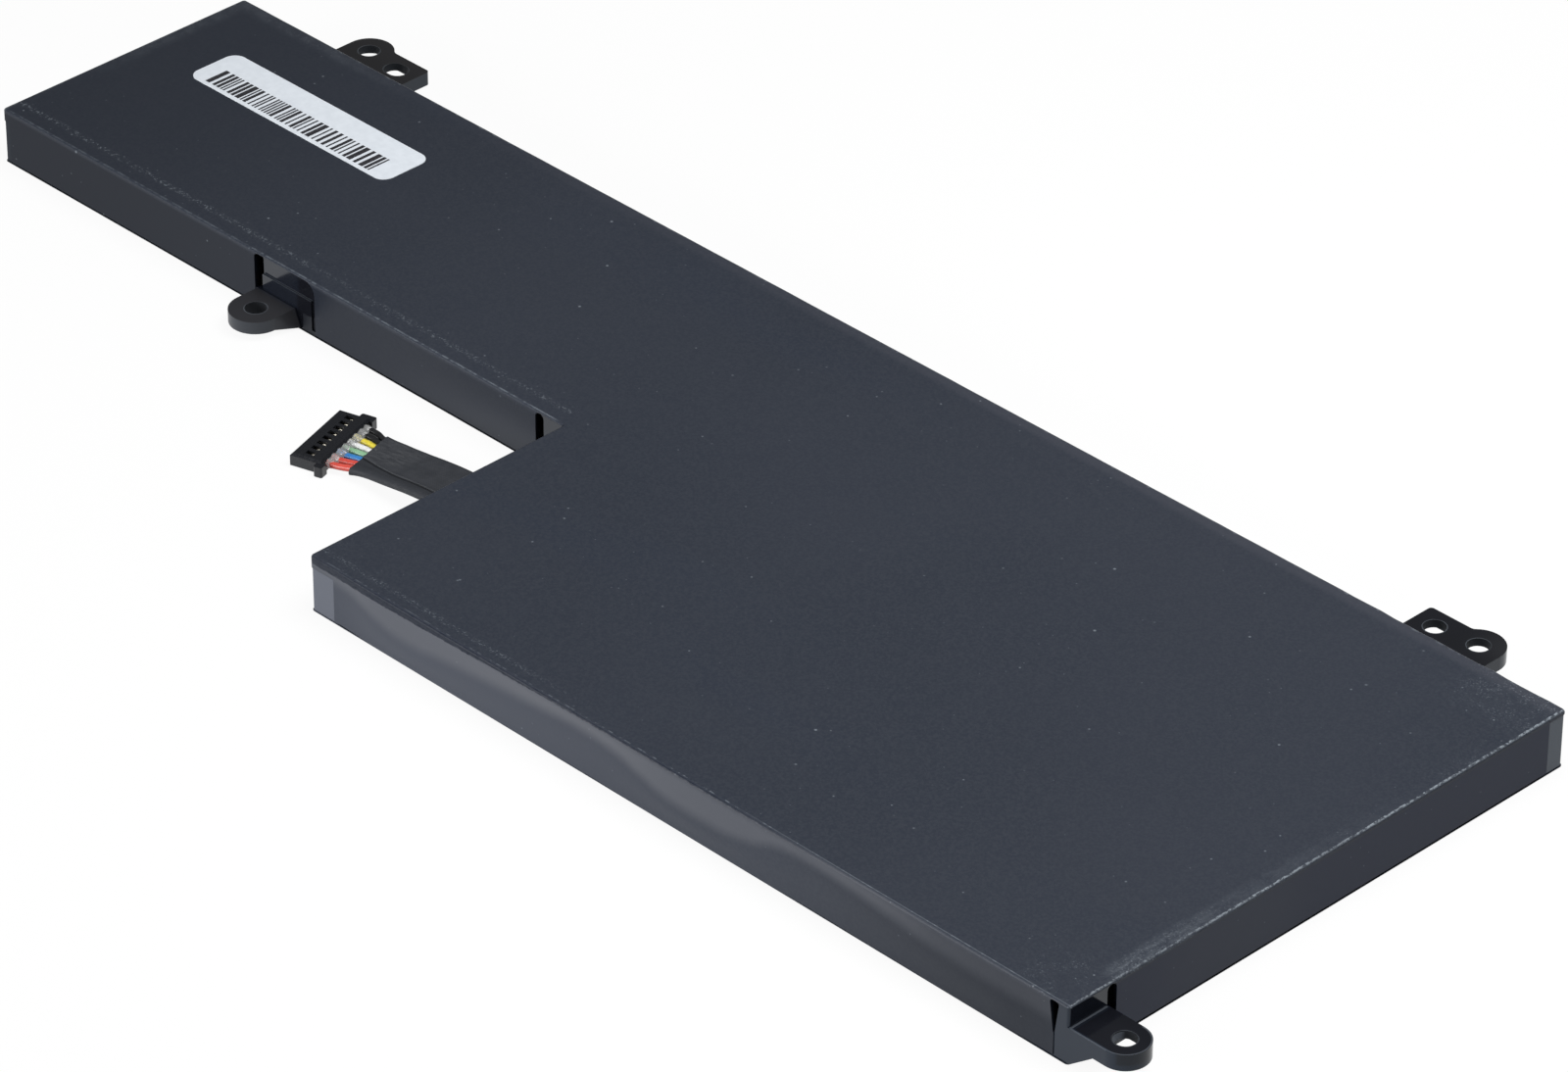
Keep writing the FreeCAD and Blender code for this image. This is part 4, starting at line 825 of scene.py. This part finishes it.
def lead_height(x):
    """Height of the lead's middle along its last straight run."""
    (out_0, drop_0), (out_1, drop_1) = LEAD_ROUTE[-1], LEAD_TURN
    slope = (drop_1 - drop_0) / (out_1 - out_0)
    return BOARD_TOP + WIRE_RADIUS - drop_0 - slope * (ARM_LENGTH - x - out_0)


def wire_points(index):
    """A wire's route from the board to its terminal."""
    y = LEAD_Y + from_middle(index) * WIRE_PITCH
    v = from_middle(index) * TERMINAL_PITCH
    base = BOARD_TOP + WIRE_RADIUS
    points = [at(WIRE_START_X, y, base)]
    points += [at(ARM_LENGTH - out, y, base - drop) for out, drop in LEAD_ROUTE]
    turn_x = ARM_LENGTH - LEAD_TURN[0] - v * math.sin(PLUG_ANGLE)
    points.append(at(turn_x, y, lead_height(turn_x)))
    points.append(plug_point(PLUG_DEPTH + PLUG_STRAIGHT, v, PLUG_MIDDLE_Z))
    points.append(plug_point(TERMINAL_END, v, PLUG_MIDDLE_Z))
    return points


def make_wires(finishes):
    wires = []
    for index, name in enumerate(WIRES):
        colour = name.split("_")[0]
        data = bpy.data.curves.new(f"lead_{name}", "CURVE")
        data.dimensions = "3D"
        data.bevel_depth = WIRE_RADIUS / 1000
        data.bevel_resolution = 6
        data.resolution_u = 14
        data.use_fill_caps = True
        points = wire_points(index)
        spline = data.splines.new("NURBS")
        spline.points.add(len(points) - 1)
        for slot, point in zip(spline.points, points):
            slot.co = (*point, 1.0)
        spline.order_u = 3
        spline.use_endpoint_u = True
        data.materials.append(finishes[colour])
        wires.append(add_piece(f"lead_{name}", data, f"wire_{colour}", f"wire_{name}"))
    return wires


# Sleeve of cloth tape around the wires, lofted along their own lines and turned in at its mouth
SLEEVE_HALF = 0.66
SLEEVE_MARGIN = 0.88
SLEEVE_OUTER_X = 101.1
SLEEVE_INNER_X = 124.4
SLEEVE_STATIONS = 46
MOUTH_STATIONS = 4
MOUTH_STEP = 0.9
MOUTH_SKEW = 1.45
CLOTH_THICKNESS = 0.13
SEAM_HALF_GAP = 0.04
SEAM_LAP = 0.17
FRAY = 0.10
WIRE_RIDGE = 0.035
CRUMPLE = 0.05


def spline_line(curve):
    """Points along a wire's own spline, in the pack's millimetres, from the plug inwards."""
    bare = curve.data.copy()
    bare.bevel_depth = 0.0
    holder = bpy.data.objects.new("line", bare)
    mesh = bpy.data.meshes.new_from_object(holder)
    points = [vertex.co * 1000 + HOME for vertex in mesh.vertices]
    bpy.data.objects.remove(holder)
    bpy.data.meshes.remove(mesh)
    bpy.data.curves.remove(bare)
    return sorted(points, key=lambda point: point.x)


def sleeve_section(near, far, seam):
    """Closed outline across the lead: places in y, heights about the middle."""
    half = SLEEVE_HALF
    near_middle, far_middle = near + half, far - half
    after_seam, before_seam = seam + SEAM_HALF_GAP, seam - SEAM_HALF_GAP
    outline = []
    for step in range(9):
        angle = math.pi * (0.5 + step / 8)
        outline.append((near_middle + half * math.cos(angle), half * math.sin(angle)))
    for step in range(1, 24):
        outline.append((near_middle + (far_middle - near_middle) * step / 24, -half))
    for step in range(9):
        angle = math.pi * (-0.5 + step / 8)
        outline.append((far_middle + half * math.cos(angle), half * math.sin(angle)))
    for step in range(1, 20):
        outline.append((far_middle + (after_seam - far_middle) * step / 19, half))
    for step in range(6):
        outline.append((before_seam + (near_middle - before_seam) * step / 6, half))
    return outline


def sleeve_ring(mesh, station, lines):
    """Points of one section of the sleeve; stations below nought line its mouth."""
    near_y, near_z, far_y, far_z = lines
    share = max(station, 0) / SLEEVE_STATIONS
    loose = 1 - share
    shrink = 0.0 if station >= 0 else CLOTH_THICKNESS
    middle_x = SLEEVE_OUTER_X + (SLEEVE_INNER_X - SLEEVE_OUTER_X) * share - MOUTH_STEP * min(station, 0)
    near = along(near_y, middle_x) - SLEEVE_MARGIN
    far = along(far_y, middle_x) + SLEEVE_MARGIN
    seam = along(SLEEVE_SEAM, middle_x)
    ring = []
    for y, height in sleeve_section(near, far, seam):
        across = (y - near) / (far - near)
        frayed = FRAY * noise.noise(Vector((y * 1.7, height, 4.4)))
        x = middle_x + (MOUTH_SKEW * (1 - 2 * across) + frayed) * loose
        middle_z = along(near_z, x) * (1 - across) + along(far_z, x) * across
        ridge = WIRE_RIDGE * math.cos(2 * math.pi * (y - LEAD_Y) / WIRE_PITCH + math.pi) * loose
        lap = SEAM_LAP if height > 0.6 and y > seam else 0.0
        crumple = CRUMPLE * noise.noise(Vector((x / 3.1, y / 2.2, 8.0)))
        lift = ridge + crumple + lap if height > 0 else 0.0
        turned_in = (0.5 - across) * 2 * shrink
        ring.append(mesh.verts.new(at(x, y + turned_in, middle_z + height * (1 - shrink) + lift)))
    return ring


def make_sleeve(wires, material):
    near_line = spline_line(wires[0])
    far_line = spline_line(wires[-1])
    lines = [[(p.x, p[axis]) for p in line] for line in (near_line, far_line) for axis in (1, 2)]
    mesh = bmesh.new()
    skin(mesh, [sleeve_ring(mesh, station, lines) for station in range(-MOUTH_STATIONS, SLEEVE_STATIONS + 1)])
    bmesh.ops.recalc_face_normals(mesh, faces=mesh.faces)
    smooth(mesh)
    data = mesh_data("lead_sleeve", mesh, material)
    data.set_sharp_from_angle(angle=math.radians(50))
    return add_piece("lead_sleeve", data, "sleeve", "cable_sleeve")


# Spring tangs of the terminals: their line in u and z, and which of them are in painted shade, the rest having a
# painted glint
TANG_LINE = [(2.0, 1.16), (2.35, 1.42), (2.75, 1.66), (3.0, 1.68), (3.22, 1.48)]
TANG_HALF = 0.29
TANG_THICKNESS = 0.1
SHADED_TANGS = (0, 1, 3, 7)


def make_tangs(bright, dull):
    """Bent tangs, one rising in each window of the plug."""
    mesh = bmesh.new()
    for index in range(len(WIRES)):
        v = from_middle(index) * TERMINAL_PITCH
        low, high = v - TANG_HALF, v + TANG_HALF
        rows = []
        for u, z in TANG_LINE:
            corners = [(low, z), (high, z), (high, z - TANG_THICKNESS), (low, z - TANG_THICKNESS)]
            rows.append([mesh.verts.new(plug_point(u, side, height)) for side, height in corners])
        # Tangs in painted shade take the dark copy, the others the pale copy with a painted glint
        for face in skin(mesh, rows):
            face.material_index = 1 if index in SHADED_TANGS else 0
    bmesh.ops.recalc_face_normals(mesh, faces=mesh.faces)
    bmesh.ops.bevel(mesh, geom=mesh.edges[:], offset=0.00002, segments=1, affect="EDGES")
    return add_piece("contact_tangs", mesh_data("contact_tangs", mesh, bright, dull), "contacts")


# Glue behind the plug: depth and rise are a plain size, a swelling at each wire, and how much they vary
GLUE_HALF = 6.0
GLUE_STATIONS = 96
GLUE_RING = 20
GLUE_INSIDE = 0.25
GLUE_DEPTH = (1.15, 0.50, 0.45)
GLUE_RISE = (0.62, 0.24, 0.12)


def make_glue(material):
    """Lumps of glue round the wires where they enter the plug, run together."""
    mesh = bmesh.new()
    rings = []
    for station in range(GLUE_STATIONS + 1):
        v = -GLUE_HALF + 2 * GLUE_HALF * station / GLUE_STATIONS
        swelling = 0.5 + 0.5 * math.cos(2 * math.pi * (v / TERMINAL_PITCH + 0.5))
        taper = math.sqrt(max(1 - (abs(v) / (GLUE_HALF + 0.05)) ** 8, 0.02))
        uneven = noise.noise(Vector((v / 1.3, 2.0, 7.0)))
        depth, rise = (
            (size + swell * swelling + vary * uneven) * taper
            for size, swell, vary in (GLUE_DEPTH, GLUE_RISE)
        )
        ring = []
        for step in range(GLUE_RING):
            angle = 2 * math.pi * step / GLUE_RING
            out, up = math.cos(angle), math.sin(angle)
            wobble = 1 + 0.10 * noise.noise(Vector((v * 1.1, out, up)))
            u = PLUG_DEPTH + 0.05 + (depth if out > 0 else GLUE_INSIDE) * out * wobble
            ring.append(mesh.verts.new(plug_point(u, v, PLUG_MIDDLE_Z + rise * up * wobble)))
        rings.append(ring)
    skin(mesh, rings)
    bmesh.ops.recalc_face_normals(mesh, faces=mesh.faces)
    smooth(mesh)
    return add_piece("glue_lumps", mesh_data("glue_lumps", mesh, material), "glue", "plug_glue")


# Film over the pack: the solid's own sheet, cut finely, then slackened where it isn't held
FILM_GRID = 2.5
FILM_LEVELS = [0.8 + 0.8 * k for k in range(10)] + [8.5, 8.8]
FRONT_SLOPE = 0.10
SLACK_MARGIN = 1.3
FRONT_FOOT = 8.7
TOP_WAVE = 0.10
BACK_RIPPLE_OUT = 0.09
BACK_RIPPLE_UP = 0.08
HOOD_REACH = 6.0
HOOD_TOP = 0.25
HOOD_FOOT = 1.7
HOOD_SHARE = 0.7
LABEL_ZONE = (10.0, 58.0, 72.0, 85.6)


def film_shift(x, y, z):
    """How far the slack film moves from its flat place, in millimetres."""
    depth = PACK_HEIGHT - z
    top = smoothstep(0.3, 0.0, depth)
    shift = Vector((0.0, 0.0, 0.0))
    if y < 1.0 and x > ARM_LENGTH + 2 and depth > 0.1:
        shift.y -= front_slope(x, depth)
    if top > 0:
        shift.z += top_wave(x, y) * top
    if y > PACK_WIDTH - 1.5:
        ripple = noise.noise(Vector((x / 2.3, 3.3, z / 6))) * (smoothstep(225, 240, x) + 0.2)
        shift.y += BACK_RIPPLE_OUT * ripple
        shift.z += BACK_RIPPLE_UP * ripple * top
    shift.z += hood_lift(x, y, depth)
    return shift


def front_slope(x, depth):
    """The front leans out below its fold, and back a little towards its foot."""
    reach = PACK_HEIGHT + SLACK_MARGIN - along(FRONT_SLACK, x)
    rise = math.sin(math.pi / 2 * min(depth / reach, 1.0))
    back = 1 - 0.5 * smoothstep(reach, FRONT_FOOT, depth)
    ends = smoothstep(ARM_LENGTH + 5, ARM_LENGTH + 14, x) * smoothstep(PACK_LENGTH - 4, PACK_LENGTH - 14, x)
    return FRONT_SLOPE * reach * rise * back * ends


def top_wave(x, y):
    """Long shallow waves on the top, none at its edges or under the label."""
    free = smoothstep(2.0, 12.0, edge_distance(x, y)) * label_clearance(x, y)
    wave = noise.noise(Vector((x / 47, y / 31, 1.7))) + 0.5 * noise.noise(Vector((x / 19, y / 23, 5.1)))
    return TOP_WAVE * wave * free


def hood_lift(x, y, depth):
    """At the far corner and at the arm's end, the film stops just under its fold."""
    far = x > PACK_LENGTH - HOOD_REACH and y > PACK_WIDTH - HOOD_REACH
    end = x < HOOD_REACH and y < STEP_Y + HOOD_REACH
    if (far or end) and HOOD_TOP < depth < HOOD_FOOT:
        return (depth - HOOD_TOP) * HOOD_SHARE
    return 0.0


def edge_distance(x, y):
    """Distance of a point of the top from the nearest edge of the L-shaped outline."""
    reach = [x, PACK_LENGTH - x, PACK_WIDTH - y]
    if x < ARM_LENGTH:
        reach.append(y - STEP_Y)
    elif y < STEP_Y:
        reach += [y, x - ARM_LENGTH]
    else:
        reach += [y, math.hypot(x - ARM_LENGTH, y - STEP_Y)]
    return min(reach)


def label_clearance(x, y):
    """Nothing under the label, which lies flat on the arm."""
    left, right, front, back = LABEL_ZONE
    away = max(left - x, x - right, front - y, y - back)
    return smoothstep(0.0, 5.0, away)


def slice_mesh(mesh, axis, places):
    """Cuts every face along planes across an axis, at places in millimetres."""
    normal = Vector((0, 0, 0))
    normal[axis] = 1.0
    for place in places:
        bmesh.ops.bisect_plane(
            mesh, geom=mesh.verts[:] + mesh.edges[:] + mesh.faces[:], dist=1e-7,
            plane_co=at(place, place, place), plane_no=normal,
        )


def make_film(material):
    data = nodes["top_film"].data.copy()
    mesh = bmesh.new()
    mesh.from_mesh(data)
    bmesh.ops.remove_doubles(mesh, verts=mesh.verts, dist=1e-7)
    bmesh.ops.dissolve_limit(
        mesh, angle_limit=math.radians(0.5), verts=mesh.verts, edges=mesh.edges,
        use_dissolve_boundaries=False,
    )
    for axis, size in enumerate((PACK_LENGTH, PACK_WIDTH)):
        slice_mesh(mesh, axis, [FILM_GRID * k for k in range(1, int(size / FILM_GRID) + 1)])
    slice_mesh(mesh, 2, FILM_LEVELS)
    for vertex in mesh.verts:
        vertex.co = vertex.co + film_shift(*(vertex.co * 1000 + HOME)) / 1000
    smooth(mesh)
    mesh.to_mesh(data)
    mesh.free()
    data.materials.clear()
    data.materials.append(material)
    data.set_sharp_from_angle(angle=math.radians(40))
    return add_piece("wrap_film", data, "film", "top_film")


# Bars on the label: where their row starts and ends, its front and back, and how deep and high they are
BARS_START = 15.0
BARS_END = 52.1
BARS_FRONT = 74.75
BARS_BACK = 79.0
BAR_WIDTHS = (0.3, 0.3, 0.6, 0.6, 0.9)
BAR_GAPS = (0.3, 0.3, 0.6, 0.6)
BARS_SEED = 5
LABEL_TOP = PACK_HEIGHT + 0.08
INK_UNDER = 0.01
INK_OVER = 0.025


def make_label_bars(material):
    """Plain dark bars of random widths, standing for a printed code."""
    random.seed(BARS_SEED)
    mesh = bmesh.new()
    x = BARS_START
    while x < BARS_END:
        width = random.choice(BAR_WIDTHS)
        corners = [(x, BARS_FRONT), (x + width, BARS_FRONT), (x + width, BARS_BACK), (x, BARS_BACK)]
        heights = (LABEL_TOP - INK_UNDER, LABEL_TOP + INK_OVER)
        skin(mesh, [[mesh.verts.new(at(a, b, z)) for a, b in corners] for z in heights])
        x += width + random.choice(BAR_GAPS)
    return add_piece("label_bars", mesh_data("label_bars", mesh, material), "label")


# The camera that the photograph was taken with, and its place in the pack's millimetres
CAMERA_RIGHT = Vector((0.69916827, 0.71494815, 0.00358796))
CAMERA_UP = Vector((-0.39454855, 0.38164551, 0.83586969))
CAMERA_AHEAD = Vector((-0.59623416, 0.58582919, -0.54891619))
CAMERA_PLACE = (808.746, -582.207, 601.484)
CAMERA_LENS = 179.8605


def make_camera():
    data = bpy.data.cameras.new("camera")
    data.sensor_fit = "HORIZONTAL"
    data.sensor_width = 36.0
    data.lens = CAMERA_LENS
    data.clip_start = 0.05
    data.clip_end = 20.0
    camera = bpy.data.objects.new("camera", data)
    turn = Matrix((CAMERA_RIGHT, CAMERA_UP, -CAMERA_AHEAD)).transposed().to_4x4()
    camera.matrix_world = Matrix.Translation(at(*CAMERA_PLACE)) @ turn
    bpy.context.scene.collection.objects.link(camera)
    bpy.context.scene.camera = camera


# Floor, lamps and surroundings, in metres
FLOOR_HALF = 3.0
FLOOR_SEEN = 0.95
FLOOR_BOUNCE = 0.35
FLOOR_WHITE_SHARE = 0.92


def seen_rays(tree):
    """One for the camera's own rays, mirrored ones and those through glass."""
    path = tree.nodes.new("ShaderNodeLightPath")
    either = Field(tree, path.outputs["Is Camera Ray"]).max(Field(tree, path.outputs["Is Glossy Ray"]))
    return either.max(Field(tree, path.outputs["Is Transmission Ray"]))


def floor_finish():
    """White where it is seen, with a soft shadow, and grey to the light that bounces off it."""
    material = bpy.data.materials.new("floor_finish")
    material.use_nodes = True
    tree = material.node_tree
    tree.nodes.clear()
    seen = seen_rays(tree)
    tone = tree.nodes.new("ShaderNodeCombineColor")
    for slot in tone.inputs[:3]:
        tree.links.new(seen.ramp(0.0, 1.0, FLOOR_BOUNCE, FLOOR_SEEN).socket, slot)
    diffuse = tree.nodes.new("ShaderNodeBsdfDiffuse")
    tree.links.new(tone.outputs[0], diffuse.inputs[0])
    white = tree.nodes.new("ShaderNodeEmission")
    white.inputs["Strength"].default_value = 1.0
    mix = tree.nodes.new("ShaderNodeMixShader")
    tree.links.new((seen * FLOOR_WHITE_SHARE).socket, mix.inputs[0])
    tree.links.new(diffuse.outputs[0], mix.inputs[1])
    tree.links.new(white.outputs[0], mix.inputs[2])
    output = tree.nodes.new("ShaderNodeOutputMaterial")
    tree.links.new(mix.outputs[0], output.inputs[0])
    return material


def make_floor():
    mesh = bmesh.new()
    bmesh.ops.create_grid(mesh, x_segments=8, y_segments=8, size=FLOOR_HALF)
    floor = add_object("floor", mesh_data("floor", mesh, floor_finish()))
    floor.location = (0, 0, -0.0001)
    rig.stage(floor)


def make_world():
    """White near the horizon, dimmer above."""
    world = bpy.data.worlds.new("surroundings")
    bpy.context.scene.world = world
    world.use_nodes = True
    tree = world.node_tree
    tree.nodes.clear()
    coordinates = tree.nodes.new("ShaderNodeTexCoord")
    parts = tree.nodes.new("ShaderNodeSeparateXYZ")
    tree.links.new(coordinates.outputs["Generated"], parts.inputs[0])
    rise = Field(tree, parts.outputs[2])
    background = tree.nodes.new("ShaderNodeBackground")
    background.inputs["Color"].default_value = (1, 1, 1, 1)
    tree.links.new(rise.ramp(0.02, 0.22, 1.0, 0.15).socket, background.inputs["Strength"])
    output = tree.nodes.new("ShaderNodeOutputWorld")
    tree.links.new(background.outputs[0], output.inputs[0])


def make_lamp(name, place, target, width, height, power):
    data = bpy.data.lights.new(name, "AREA")
    data.shape = "RECTANGLE"
    data.size = width
    data.size_y = height
    data.energy = power
    lamp = bpy.data.objects.new(name, data)
    lamp.location = place
    lamp.rotation_euler = (Vector(target) - Vector(place)).to_track_quat("-Z", "Y").to_euler()
    bpy.context.scene.collection.objects.link(lamp)


make_camera()
make_floor()
make_world()
make_lamp(
    "overhead", place=(0.15, 0.06, 0.42), target=(0.135, 0.03, 0), width=0.3, height=0.3, power=1.92,
)
make_lamp(
    "front_left", place=(-0.40, -1.25, 0.32), target=(-0.02, -0.03, 0), width=1.2, height=0.7, power=18.0,
)

film_material = film_finish()
plain = {name: plain_finish(f"{name}_finish", *values) for name, values in PLAIN_FINISHES.items()}
glue_material = plain_finish("glue_finish", GLUE_DARK, GLUE_LIGHT, 0.2, 0.7, 0.03, transmission_weight=0.7)
insulation = {
    colour: plain_finish(f"{colour}_insulation", dark, light, rough=0.18, grain_size=0.8, relief=0.0008)
    for colour, (dark, light) in INSULATION.items()
}

paint("frame", frame_finish())
paint("bottom_film", film_material)
for number in range(1, CELL_COUNT + 1):
    paint(f"cell_{number}", plain["pouch"])
for name, finish in SOLID_FINISHES.items():
    paint(name, plain[finish])

make_film(film_material)
make_label_bars(plain["ink"])
wires = make_wires(insulation)
on_lead = [nodes["plug_housing"], nodes["plug_terminals"]]
on_lead += [
    make_sleeve(wires, sleeve_finish()),
    make_tangs(plain["tang"], plain["dull_tang"]),
    make_glue(glue_material),
]
for index, wire in enumerate(wires):
    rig.cord(
        wire, exit=wire_points(index)[0], length=WIRE_LENGTHS[index] / 1000, diameter=2 * WIRE_RADIUS / 1000,
        far_end="connector", stiffness="limp", lay="loose",
        with_pieces=on_lead if index == 0 else on_lead[:1],
    )

bpy.context.scene.view_settings.view_transform = "Standard"
with open("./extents.json", "w") as out:
    json.dump({"cad": [list(v) for v in cad_box], "visual": [list(v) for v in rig.bounds()]}, out)
